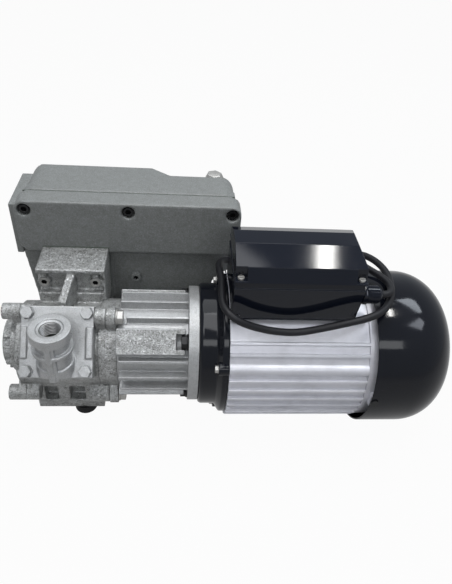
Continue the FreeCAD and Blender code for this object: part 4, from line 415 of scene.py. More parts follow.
class Graph:
    """A material's shader, built node by node."""

    def __init__(self, name: str) -> None:
        """Starts a material with a Principled shader.

        Args:
            name: The material's name.
        """
        self.material = bpy.data.materials.new(name)
        self.material.use_nodes = True
        self.tree = self.material.node_tree
        self.shader = self.tree.nodes["Principled BSDF"]
        self.place = self.tree.nodes.new("ShaderNodeTexCoord")

    def set(self, **values: object) -> "Graph":
        """Sets the shader's own sockets.

        Args:
            **values: The sockets' values by name, with an underscore for a space.

        Returns:
            The same graph.
        """
        for key, value in values.items():
            self.shader.inputs[key.replace("_", " ")].default_value = value
        return self

    def node(self, kind: str, **values: object) -> bpy.types.Node:
        """Adds a node and sets its properties and unlinked sockets.

        Args:
            kind: The node's type.
            **values: Its properties, or its sockets' values with an underscore for a space.

        Returns:
            The new node.
        """
        item = self.tree.nodes.new(kind)
        for key, value in values.items():
            if hasattr(item, key):
                setattr(item, key, value)
            else:
                item.inputs[key.replace("_", " ")].default_value = value
        return item

    def link(self, start: Socket, end: Socket) -> None:
        """Joins two sockets."""
        self.tree.links.new(start, end)

    def where(self, scale: Sequence[float] = (1.0, 1.0, 1.0)) -> Socket:
        """The object coordinates, stretched along the axes.

        Args:
            scale: The stretch along each axis.

        Returns:
            The socket with the coordinates.
        """
        if tuple(scale) == (1.0, 1.0, 1.0):
            return self.place.outputs["Object"]
        mapping = self.node("ShaderNodeMapping", Scale=scale)
        self.link(self.place.outputs["Object"], mapping.inputs["Vector"])
        return mapping.outputs["Vector"]

    def noise(self, scale: float, detail: float = 3.0, roughness: float = 0.5,
              stretch: Sequence[float] = (1.0, 1.0, 1.0)) -> Socket:
        """A noise pattern of so many waves per metre.

        Args:
            scale: Waves per metre.
            detail: How many octaves it has.
            roughness: How strong the fine octaves are.
            stretch: The scale along each axis.

        Returns:
            The socket with the pattern's value.
        """
        item = self.node("ShaderNodeTexNoise", Scale=scale, Detail=detail, Roughness=roughness)
        self.link(self.where(stretch), item.inputs["Vector"])
        return item.outputs["Fac"]

    def spread(self, value: Socket, low: float, high: float, to_low: float, to_high: float) -> Socket:
        """Maps a value from one span to another, within its limits.

        Args:
            value: The socket with the value.
            low: The start of the span that it comes from.
            high: The end of that span.
            to_low: What the start becomes.
            to_high: What the end becomes.

        Returns:
            The socket with the mapped value.
        """
        item = self.node("ShaderNodeMapRange", clamp=True, From_Min=low, From_Max=high, To_Min=to_low,
                         To_Max=to_high)
        self.link(value, item.inputs["Value"])
        return item.outputs["Result"]

    def blend(self, factor: Socket, first: Socket | Triple, second: Socket | Triple) -> Socket:
        """Mixes two colours by a factor.

        Args:
            factor: The share of the second colour.
            first: A colour, or a socket that gives one.
            second: Another colour or socket.

        Returns:
            The socket with the mixed colour.
        """
        item = self.node("ShaderNodeMix", data_type="RGBA")
        self.link(factor, item.inputs["Factor"])
        for key, value in (("A", first), ("B", second)):
            socket = [s for s in item.inputs if s.name == key and s.type == "RGBA"][0]
            if isinstance(value, Socket):
                self.link(value, socket)
            else:
                socket.default_value = (*value, 1.0)
        return [s for s in item.outputs if s.type == "RGBA"][0]

    def bump(self, height: Socket, depth: float, strength: float, under: Socket | None = None) -> Socket:
        """A bump from a height pattern.

        Args:
            height: The socket with the pattern.
            depth: How deep the pattern is, in metres.
            strength: How much of it shows.
            under: Another bump that it lies over.

        Returns:
            The socket with the normal.
        """
        item = self.node("ShaderNodeBump", Distance=depth, Strength=strength)
        self.link(height, item.inputs["Height"])
        if under is not None:
            self.link(under, item.inputs["Normal"])
        return item.outputs["Normal"]

    def done(self, colour: Socket, roughness: Socket | None = None,
             normal: Socket | None = None) -> bpy.types.Material:
        """Joins the patterns to the shader.

        Args:
            colour: The socket with the base colour.
            roughness: The socket with the roughness.
            normal: The socket with the normal.

        Returns:
            The finished material.
        """
        for socket, name in ((colour, "Base Color"), (roughness, "Roughness"), (normal, "Normal")):
            if socket is not None:
                self.link(socket, self.shader.inputs[name])
        return self.material


@dataclass(frozen=True)
class CastPaint:
    """Silver-grey enamel over a sand casting: dark specks of painted shade in its pits, bright specks of
    painted glints, and a grainy skin.

    The grain is in waves per metre and the depth in metres.
    """

    name: str
    colour: Triple
    # The dark colour serves both the random clouds and the painted shade in the pits; the bright colour is a
    # painted glint.
    dark: Triple
    painted_glint_colour: Triple
    grain: float
    depth: float
    speck: float
    roughness: float
    level: float
    metallic: float = 0.0
    cloud: float = 0.55
    coarseness: float = 0.22
    coarse_depth: float = 1.6
    # The stretches of the patterns where clouds, the painted shade of the pits and the painted glints fade
    # in.
    cloud_span: Pair = (0.35, 0.65)
    pit_shade_span: Pair = (0.34, 0.46)
    painted_glint_span: Pair = (0.55, 0.68)
    # What the pits and the spots of the painted glints add to the roughness.
    rougher: Pair = (0.14, -0.08)

    def build(self) -> bpy.types.Material:
        """Makes the material.

        Returns:
            The finished material.
        """
        graph = Graph(self.name).set(Metallic=self.metallic, Specular_IOR_Level=self.level)
        coarse = graph.noise(self.grain * self.coarseness, detail=4.0, roughness=0.6)
        fine = graph.noise(self.grain, detail=5.0, roughness=0.65)
        clouds = graph.spread(coarse, *self.cloud_span, 0.0, self.cloud)
        tint = graph.blend(clouds, self.colour, self.dark)
        # Dark specks: painted shade in the casting's pits.
        painted_pit_shade = graph.spread(fine, *self.pit_shade_span, self.speck, 0.0)
        tint = graph.blend(painted_pit_shade, tint, self.dark)
        # Bright specks: painted glints.
        painted_glints = graph.spread(fine, *self.painted_glint_span, 0.0, self.speck)
        tint = graph.blend(painted_glints, tint, self.painted_glint_colour)
        rough = graph.spread(fine, *self.cloud_span, *(self.roughness + more for more in self.rougher))
        normal = graph.bump(fine, self.depth, strength=0.75)
        normal = graph.bump(coarse, self.depth * self.coarse_depth, strength=0.5, under=normal)
        return graph.done(tint, rough, normal)


@dataclass(frozen=True)
class DrawnMetal:
    """Bare metal with fine drawing or turning lines along one axis."""

    name: str
    colour: Triple
    streak: Triple = (0.04, 1.0, 1.0)
    scale: float = 2600.0
    roughness: float = 0.3
    stain: float = 0.25
    metallic: float = 1.0
    dullness: float = 0.62
    stain_waves: float = 55.0
    stain_span: Pair = (0.4, 0.7)
    line_span: Pair = (0.3, 0.7)
    line_shade: float = 0.22
    line_depth: float = 0.00004
    # What the deep and the high lines add to the roughness.
    rougher: Pair = (0.12, -0.05)

    def build(self) -> bpy.types.Material:
        """Makes the material.

        Returns:
            The finished material.
        """
        graph = Graph(self.name).set(Metallic=self.metallic)
        lines = graph.noise(self.scale, detail=3.0, roughness=0.6, stretch=self.streak)
        cloud = graph.noise(self.stain_waves, detail=4.0, roughness=0.55)
        dull = tuple(value * self.dullness for value in self.colour)
        stains = graph.spread(cloud, *self.stain_span, 0.0, self.stain)
        tint = graph.blend(stains, self.colour, dull)
        tint = graph.blend(graph.spread(lines, *self.line_span, self.line_shade, 0.0), tint, dull)
        rough = graph.spread(lines, *self.line_span, *(self.roughness + more for more in self.rougher))
        return graph.done(tint, rough, graph.bump(lines, self.line_depth, strength=0.6))


@dataclass(frozen=True)
class Moulding:
    """Paint, plastic or rubber: one colour with slight clouding, and a skin of its own grain."""

    name: str
    colour: Triple
    roughness: float = 0.3
    grain: float = 900.0
    depth: float = 0.00003
    cloud: float = 0.25
    level: float = 0.5
    metallic: float = 0.0
    blur: float = 0.09
    cloud_waves: float = 28.0
    # Worn colour is the colour times the first of these, plus the second.
    wear: Pair = (1.5, 0.012)
    cloud_span: Pair = (0.35, 0.7)
    gloss_span: Pair = (0.3, 0.7)

    def build(self) -> bpy.types.Material:
        """Makes the material.

        Returns:
            The finished material.
        """
        graph = Graph(self.name).set(Specular_IOR_Level=self.level, Metallic=self.metallic)
        wide = graph.noise(self.cloud_waves, detail=4.0, roughness=0.55)
        fine = graph.noise(self.grain, detail=3.0, roughness=0.5)
        gain, lift = self.wear
        worn = tuple(min(1.0, value * gain + lift) for value in self.colour)
        tint = graph.blend(graph.spread(wide, *self.cloud_span, 0.0, self.cloud), self.colour, worn)
        dullest = min(1.0, self.roughness + self.blur)
        rough = graph.spread(wide, *self.gloss_span, self.roughness, dullest)
        return graph.done(tint, rough, graph.bump(fine, self.depth, strength=0.5))


@dataclass(frozen=True)
class Clear:
    """Window glass with a faint green cloud."""

    name: str
    pale: Triple = (0.9, 0.94, 0.92)
    deep: Triple = (0.82, 0.88, 0.86)
    cloud_waves: float = 40.0

    def build(self) -> bpy.types.Material:
        """Makes the material.

        Returns:
            The finished material.
        """
        graph = Graph(self.name).set(Roughness=0.03, IOR=1.5, Transmission_Weight=0.9)
        wide = graph.noise(self.cloud_waves, detail=2.0, roughness=0.5)
        return graph.done(graph.blend(wide, self.pale, self.deep))


class Finishes:
    """Every finish of the pump, by the record's material slot."""

    def __init__(self) -> None:
        """Builds the materials once."""
        styles = [
            # In each cast paint, the third colour is a painted glint, and the second gives the painted shade
            # of the pits as well as the clouds.
            CastPaint("cast_paint", (0.4, 0.405, 0.4), (0.07, 0.07, 0.06), (0.97, 0.98, 1.0), grain=680.0,
                      depth=0.0009, speck=0.95, roughness=0.3, level=0.9, metallic=0.3),
            CastPaint("fine_paint", (0.42, 0.425, 0.43), (0.18, 0.18, 0.165), (0.8, 0.81, 0.84), grain=800.0,
                      depth=0.0003, speck=0.6, roughness=0.3, level=0.9, cloud=0.25, metallic=0.35),
            CastPaint("smooth_paint", (0.21, 0.22, 0.215), (0.11, 0.11, 0.1), (0.42, 0.43, 0.45), grain=900.0,
                      depth=0.00028, speck=0.55, roughness=0.34, level=0.55, cloud=0.3),
            DrawnMetal("raw_aluminium", (0.7, 0.7, 0.75), roughness=0.36, stain=0.4, metallic=0.35),
            # Both blacks are the parts' own black with a blue tint that is a painted reflection of cool
            # surroundings.
            Moulding("black_paint", (0.006, 0.007, 0.011), roughness=0.07, grain=420.0, depth=0.00004,
                     cloud=0.08, level=0.26, blur=0.05),
            Moulding("black_plastic", (0.007, 0.009, 0.016), roughness=0.05, grain=1500.0, depth=0.00002,
                     cloud=0.08, level=0.26, blur=0.03),
            DrawnMetal("zinc", (0.5, 0.49, 0.47), (1.0, 1.0, 1.0), 900.0, 0.4, 0.4, 0.7),
            # Painted shade for the inside of the inlet port's bore.
            DrawnMetal("bore_painted_shade", (0.1, 0.105, 0.09), (1.0, 1.0, 1.0), 1200.0, 0.4, 0.3, 0.6),
            # Painted shade for the inside of screw sockets.
            Moulding("socket_painted_shade", (0.004, 0.004, 0.004), roughness=0.7, level=0.1, cloud=0.05),
            Moulding("black_oxide", (0.02, 0.02, 0.021), roughness=0.36, metallic=0.7, grain=1800.0),
            DrawnMetal("steel", (0.55, 0.55, 0.56), (1.0, 1.0, 1.0), 1500.0, 0.3, 0.2),
            DrawnMetal("iron", (0.3, 0.3, 0.3), (1.0, 1.0, 1.0), 1200.0, 0.42, 0.3),
            Moulding("black_rubber", (0.01, 0.01, 0.011), roughness=0.72, depth=0.00008, level=0.35),
            Moulding("spider_rubber", (0.35, 0.03, 0.02), roughness=0.6, depth=0.00008),
            Moulding("cable_jacket", (0.008, 0.008, 0.01), roughness=0.45, grain=2200.0, cloud=0.1,
                     level=0.3),
            Moulding("plug_plastic", (0.02, 0.02, 0.021), roughness=0.48, grain=1800.0, depth=0.00006),
            Moulding("gasket", (0.07, 0.085, 0.07), roughness=0.85, grain=1600.0, depth=0.0001, cloud=0.6),
            Moulding("filter_medium", (0.78, 0.77, 0.72), roughness=0.95, grain=700.0, depth=0.0006,
                     cloud=0.1),
            DrawnMetal("copper", (0.72, 0.33, 0.16), (1.0, 1.0, 1.0), 700.0, 0.3, 0.35),
            Moulding("carbon", (0.03, 0.03, 0.032), roughness=0.5, grain=1800.0, metallic=0.2),
            Moulding("float_plastic", (0.7, 0.66, 0.56), roughness=0.5, grain=1200.0),
            Clear("clear_glass"),
            DrawnMetal("capacitor_can", (0.72, 0.72, 0.74), roughness=0.25),
            Moulding("fan_plastic", (0.03, 0.03, 0.032), roughness=0.45, grain=1500.0),
        ]
        self.materials = {style.name: style.build() for style in styles}

    def __getitem__(self, slot: str) -> bpy.types.Material:
        """The material of a slot."""
        return self.materials[slot]


FINISHES = Finishes()
SLOTS = {entry["node"]: entry["material_slot"] for entry in frame["record"]["subparts"]}
PUMP_BODY = "pump_frame"
REPLACED: set[str] = set()


def hand_over(piece: Piece, slot: str, nodes: Sequence[str] = (), body: str = PUMP_BODY,
              finishes: Sequence[str] = ()) -> None:
    """Gives a finished piece its materials, its body and the nodes that it stands for.

    Args:
        piece: The finished object.
        slot: The material slot of its finish.
        nodes: The CAD nodes that it replaces.
        body: The body that it moves with.
        finishes: The finishes of its faces by their index, when they aren't all the slot's own.
    """
    kept = [face.material_index for face in piece.data.polygons] if piece.type == "MESH" else []
    piece.data.materials.clear()
    for finish in finishes or (slot,):
        piece.data.materials.append(FINISHES[finish])
    if finishes:
        piece.data.polygons.foreach_set("material_index", kept)
    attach(piece, body)
    if nodes:
        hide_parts(*nodes)
        REPLACED.update(nodes)
    count = len(piece.data.polygons) if piece.type == "MESH" else 0
    LOG.info("piece %s: %d faces, %s", piece.name, count, slot)


@dataclass
class SupplyCable:
    """The mains cable: out of the gland, round the terminal box, down to its coil and into the plug."""

    diameter: float = 7.0
    coil_middle: Pair = (106.0, 136.0)
    coil_start_radius: float = 34.7
    coil_end_radius: float = 50.0
    coil_start_angle: float = 257.6
    coil_turn: float = 796.0
    coil_points: int = 31
    coil_inset: float = 0.975
    coil_rise: float = 2.2
    coil_rise_share: float = 1 / 9
    floor_height: float = -84.5
    tail_side: float = 56.0
    tail_places: Triple = (148.0, 160.0, 174.0)
    route: tuple[Triple, ...] = (
        (167.7, -31.0, 97.0), (173.0, -31.0, 97.0), (179.0, -26.0, 96.7), (181.0, -14.0, 96.0),
        (176.5, -1.0, 95.0), (168.5, 11.0, 93.5), (162.0, 27.0, 90.0), (153.0, 45.0, 85.0),
        (131.0, 56.0, 76.0), (103.0, 60.0, 67.0), (73.0, 59.5, 62.5), (46.5, 57.0, 66.0),
        (22.5, 46.0, 76.0), (17.8, 24.0, 83.5),
        (20.4, 3.0, 86.3), (19.4, -17.0, 87.5), (18.8, -39.0, 88.2), (24.0, -50.0, 87.0), (34.0, -54.8, 81.6),
        (50.0, -53.0, 73.2), (68.0, -52.0, 67.8), (88.0, -51.5, 65.8), (110.0, -52.0, 71.8),
        (132.0, -53.5, 80.6), (153.5, -53.5, 88.0), (171.0, -42.0, 88.0), (182.3, -23.0, 88.0),
        (187.8, -2.0, 88.0), (188.2, 18.0, 88.0), (182.0, 37.0, 87.0), (171.5, 53.5, 83.0),
        (160.5, 68.0, 69.0),
        (152.0, 79.0, 47.0), (146.5, 84.5, 21.0), (141.5, 90.0, -8.0), (134.0, 94.5, -36.0),
        (125.0, 98.0, -58.0), (113.0, 100.8, -74.0), (98.5, 101.8, -81.5),
    )

    def points(self) -> list[Vector]:
        """The control points of the cable's line, in metres.

        The line cuts inside its points, so the coil's points stand out from its turns by coil_inset.

        Returns:
            The route, the turns of the coil and the tail into the plug.
        """
        found = [at(*point) for point in self.route]
        for step in range(1, self.coil_points + 1):
            share = step / self.coil_points
            angle = math.radians(self.coil_start_angle - self.coil_turn * share)
            radius = self.coil_start_radius + (self.coil_end_radius - self.coil_start_radius) * share
            radius /= self.coil_inset
            height = self.floor_height + self.coil_rise * max(0.0, 1 - share / self.coil_rise_share)
            found.append(at(self.coil_middle[0] + radius * math.cos(angle),
                            self.coil_middle[1] + radius * math.sin(angle), height))
        for place in self.tail_places:
            found.append(at(self.tail_side, place, self.floor_height))
        return found

    def build(self) -> None:
        line = bpy.data.curves.new("supply_cable", "CURVE")
        line.dimensions = "3D"
        line.bevel_depth = self.diameter / 2 * MM
        line.bevel_resolution = 5
        line.resolution_u = 8
        line.use_fill_caps = True
        spline = line.splines.new("NURBS")
        points = self.points()
        spline.points.add(len(points) - 1)
        for item, point in zip(spline.points, points):
            item.co = (*point, 1.0)
        spline.order_u = 3
        spline.use_endpoint_u = True
        piece = Bench.new("supply_cable", line)
        hand_over(piece, "cable_jacket", ("power_cable", "cable_coil"))
        plug = Plug().build()
        tuple(points[0])


@dataclass
class Plug:
    """A plain moulded plug with a strain relief and flat pins, its edges softened."""

    edge: float = 0.6

    def build(self) -> Piece:
        """Makes the plug.

        Returns:
            The plug, which stands for its CAD node.
        """
        piece = Bench.copy_of("mains_plug", ["power_plug"])
        Bench.soften(piece, self.edge * MM, angle=SHARP, clamp=True)
        hand_over(piece, "plug_plastic", ("power_plug",))
        return piece


@dataclass(frozen=True)
class Lamp:
    """A rectangular area lamp that points at a target, with its power in watts."""

    name: str
    place: Triple
    target: Triple
    size: Pair
    power: float
    colour: Triple

    def build(self) -> None:
        """Adds the lamp."""
        light = bpy.data.lights.new(self.name, "AREA")
        light.shape = "RECTANGLE"
        light.size, light.size_y = self.size
        light.energy = self.power
        light.color = self.colour
        item = Bench.new(self.name, light)
        item.location = self.place
        item.rotation_euler = (Vector(self.target) - Vector(self.place)).to_track_quat("-Z", "Y").to_euler()


@dataclass
class Studio:
    """The camera at the photograph's angle, soft lamps and a plain pale floor."""

    # Where the camera is, in metres, and the three directions of its view.
    place: Triple = (-0.05313, -0.43489, 0.49965)
    right: Triple = (0.99581, -0.05628, 0.07209)
    up: Triple = (-0.01869, 0.64632, 0.76284)
    ahead: Triple = (0.08953, 0.76099, -0.64256)
    # The focal length and the height of the picture, in pixels.
    focal: float = 538.57
    frame_height: float = 584.0
    sensor: float = 36.0
    room_light: float = 0.08
    room_colour: Triple = (0.9, 0.95, 1.0)
    backdrop: Triple = (1.0, 1.0, 1.0)
    floor_size: float = 8.0
    floor_drop: float = 0.0002
    floor_colour: Triple = (0.38, 0.38, 0.38)
    floor_roughness: float = 0.9
    floor_glow: float = 0.96
    reflected: float = 0.45
    lamps: tuple[Lamp, ...] = (
        Lamp("top_light", (-0.15, 0.65, 1.6), (0.0, 0.05, 0.05), (1.4, 1.0), 9.0, (0.95, 0.98, 1.0)),
        Lamp("ceiling", (-0.3, -0.3, 1.5), (-0.08, -0.02, 0.1), (0.6, 1.1), 9.0, (0.97, 0.98, 1.0)),
        Lamp("key", (-0.03, -0.8, 0.84), (-0.03, -0.03, 0.12), (1.0, 0.2), 2.5, (0.96, 0.98, 1.0)),
        Lamp("tube", (0.461, -0.02, 1.6), (0.08, -0.02, 0.2), (0.3, 0.05), 4.2, (1.0, 0.99, 0.96)),
        Lamp("window", (0.8, 0.3, 1.4), (0.15, -0.02, 0.15), (0.55, 0.22), 4.0, (0.85, 0.92, 1.0)),
        Lamp("low_window", (0.82, -0.35, 1.3), (0.2, -0.02, 0.12), (0.34, 0.24), 2.0, (0.85, 0.9, 1.0)),
    )

    def camera(self) -> None:
        """Adds the camera."""
        lens = bpy.data.cameras.new("view")
        lens.sensor_fit = "VERTICAL"
        lens.sensor_height = self.sensor
        lens.sensor_width = self.sensor
        lens.lens = self.focal / self.frame_height * self.sensor
        lens.clip_start = 0.01
        item = Bench.new("view", lens)
        turn = Matrix((self.right, self.up, [-value for value in self.ahead])).transposed().to_4x4()
        item.matrix_world = Matrix.Translation(self.place) @ turn
        bpy.context.scene.camera = item

    @staticmethod
    def reckon(tree: bpy.types.NodeTree, operation: str, first: Socket, second: Socket | float) -> Socket:
        """One step of arithmetic in a node tree.

        Args:
            tree: The node tree that gets the node.
            operation: The name of the Math node's operation.
            first: The first value.
            second: The second value, or a number.

        Returns:
            The socket with the result.
        """
        step = tree.nodes.new("ShaderNodeMath")
        step.operation = operation
        tree.links.new(first, step.inputs[0])
        if isinstance(second, float):
            step.inputs[1].default_value = second
        else:
            tree.links.new(second, step.inputs[1])
        return step.outputs[0]

    def in_sight(self, tree: bpy.types.NodeTree, share: float) -> Socket:
        """A value that rays from the camera, from gloss and through glass get, and no other ray.

        Args:
            tree: The node tree that gets the nodes.
            share: The value for rays from the camera and through glass. Reflected rays get less.

        Returns:
            The socket with the value.
        """
        path = tree.nodes.new("ShaderNodeLightPath")
        seen = self.reckon(tree, "MULTIPLY", path.outputs["Is Glossy Ray"], self.reflected)
        seen = self.reckon(tree, "MAXIMUM", path.outputs["Is Camera Ray"], seen)
        seen = self.reckon(tree, "MAXIMUM", seen, path.outputs["Is Transmission Ray"])
        return self.reckon(tree, "MULTIPLY", seen, share)

    def surroundings(self) -> None:
        """A world that is white to the camera, a little cool in reflections, and lights softly."""
        world = bpy.data.worlds.new("room")
        bpy.context.scene.world = world
        world.use_nodes = True
        tree = world.node_tree
        back = tree.nodes["Background"]
        strength = self.reckon(tree, "ADD", self.in_sight(tree, 1.0 - self.room_light), self.room_light)
        tree.links.new(strength, back.inputs["Strength"])
        tint = tree.nodes.new("ShaderNodeMix")
        tint.data_type = "RGBA"
        cool, white = (item for item in tint.inputs if item.type == "RGBA")
        cool.default_value = (*self.room_colour, 1.0)
        white.default_value = (*self.backdrop, 1.0)
        path = tree.nodes.new("ShaderNodeLightPath")
        tree.links.new(path.outputs["Is Camera Ray"], tint.inputs[0])
        tree.links.new(next(item for item in tint.outputs if item.type == "RGBA"), back.inputs["Color"])

    def floor(self) -> None:
        """The pale floor, which keeps a faint shadow."""
        Bench.clear()
        bpy.ops.mesh.primitive_plane_add(size=self.floor_size, location=(0.0, 0.0, -self.floor_drop))
        piece = Bench.settle(bpy.context.active_object, "floor")
        material = bpy.data.materials.new("floor")
        material.use_nodes = True
        tree = material.node_tree
        shader = tree.nodes["Principled BSDF"]
        shader.inputs["Base Color"].default_value = (*self.floor_colour, 1.0)
        shader.inputs["Roughness"].default_value = self.floor_roughness
        shader.inputs["Specular IOR Level"].default_value = 0.0
        glow = tree.nodes.new("ShaderNodeEmission")
        glow.inputs["Strength"].default_value = 1.0
        mix = tree.nodes.new("ShaderNodeMixShader")
        tree.links.new(self.in_sight(tree, self.floor_glow), mix.inputs["Fac"])
        tree.links.new(shader.outputs["BSDF"], mix.inputs[1])
        tree.links.new(glow.outputs["Emission"], mix.inputs[2])
        tree.links.new(mix.outputs["Shader"], tree.nodes["Material Output"].inputs["Surface"])
        piece.data.materials.append(material)

    def build(self) -> None:
        """Adds everything around the pump."""
        self.camera()
        self.surroundings()
        self.floor()
        for lamp in self.lamps:
            lamp.build()
        bpy.context.scene.view_settings.view_transform = "Standard"


@dataclass
class Castings:
    """The painted castings of the pump, each with the fillets of its mould."""

    # Each casting's node, the grain of its skin and how often the skin is smoothed.
    sizes: tuple[tuple[str, float, int], ...] = (
        ("cylinder_housing", 0.93, 2), ("end_cover", 0.7, 2), ("drive_end_plate", 0.75, 2),
    )
    pockets: tuple[Pair, ...] = ((-161.3, -147.7), (-135.1, -119.4))
    pocket_depth: Pair = (-30.0, -13.0)
    pocket_span: Pair = (-66.5, -45.0)
    # Opposite corners of the lug before it is tilted about the shaft line.
    lug: tuple[Triple, Triple] = ((-94.0, 1.5, 30.0), (-80.2, 34.0, 44.0))
    lug_edge: float = 2.2
    lug_tilt: float = 46.0

    def pocketed(self, casting: Piece) -> Piece:
        """The cylinder casting with the pockets in the front of its sump.

        Args:
            casting: The casting without them.

        Returns:
            The same casting, cut.
        """
        front, back = self.pocket_depth
        bottom, top = self.pocket_span
        for left, right in self.pockets:
            Bench.carve(casting, Bench.block("sump_pocket", at(left, front, bottom), at(right, back, top)))
        return casting

    def lugged(self, casting: Piece) -> Piece:
        """The drive end plate with its sloping lug.

        Args:
            casting: The plate without it.

        Returns:
            The plate and the lug as one object.
        """
        low, high = (Vector(corner) * MM for corner in self.lug)
        lug = Bench.block("drive_lug", low, high)
        Bench.apply(lug, "BEVEL", width=self.lug_edge * MM, segments=3)
        lug.data.transform(tilted(at(0.0, 0.0, 0.0), self.lug_tilt))
        return Bench.join(casting.name, [casting, lug])

    def build(self) -> None:
        """Makes the castings from the machined forms."""
        shaped = {"cylinder_housing": self.pocketed, "drive_end_plate": self.lugged}
        for node, grain, passes in self.sizes:
            piece = Bench.copy_of(f"{node}_casting", [node], 0.0)
            if node in shaped:
                piece = shaped[node](piece)
            hand_over(Bench.cast(piece, grain * MM, passes), SLOTS[node], (node,))


@dataclass
class OilBox:
    """The oil box: two large smooth castings with rounded edges, and the side cover of the filter.

    The side cover's inner faces reach on towards the box, so that no gap shows behind it.
    """

    grain: float = 1.4
    passes: int = 3
    edge: float = 0.9
    reach: float = 2.2
    # How squarely a face looks at the box to be one of the inner faces.
    squareness: float = 0.98

    def build(self) -> None:
        """Rounds the edges of the box, its cover and the side cover."""
        for node in ("oil_box_cover", "oil_box_housing"):
            copy = Bench.copy_of(f"{node}_casting", [node], 0.0)
            hand_over(Bench.cast(copy, self.grain * MM, self.passes), SLOTS[node], (node,))
        side = Bench.copy_of("filter_cover_casting", ["filter_cover"])
        with Bench.editing(side):
            Bench.pick(side, lambda middle, normal: normal.x > self.squareness)
            bpy.ops.mesh.extrude_region_move(TRANSFORM_OT_translate={"value": (self.reach * MM, 0.0, 0.0)})
        Bench.soften(side, self.edge * MM, segments=3, angle=SHARP)
        hand_over(side, SLOTS["filter_cover"], ("filter_cover",))


@dataclass
class Lantern:
    """The finned lantern between pump and motor."""

    edge: float = 0.7
    pad_slope: Pair = (0.6, 0.8)
    pad_area: float = 0.00012
    pad_span: Pair = (22.0, 48.0)

    def build(self) -> None:
        """Rounds the edges of the fins, and gives the wide sloping pads the coarse skin."""
        piece = Bench.softened("lantern_casting", "lantern", self.edge, segments=2, angle=38)
        low, high = self.pad_slope
        bottom, top = (at(0.0, 0.0, height).z for height in self.pad_span)
        for face in piece.data.polygons:
            sloping = low < face.normal.z < high and low < -face.normal.y < high
            face.material_index = int(sloping and bottom < face.center.z < top and face.area > self.pad_area)
        hand_over(piece, SLOTS["lantern"], ("lantern",), finishes=("fine_paint", "cast_paint"))


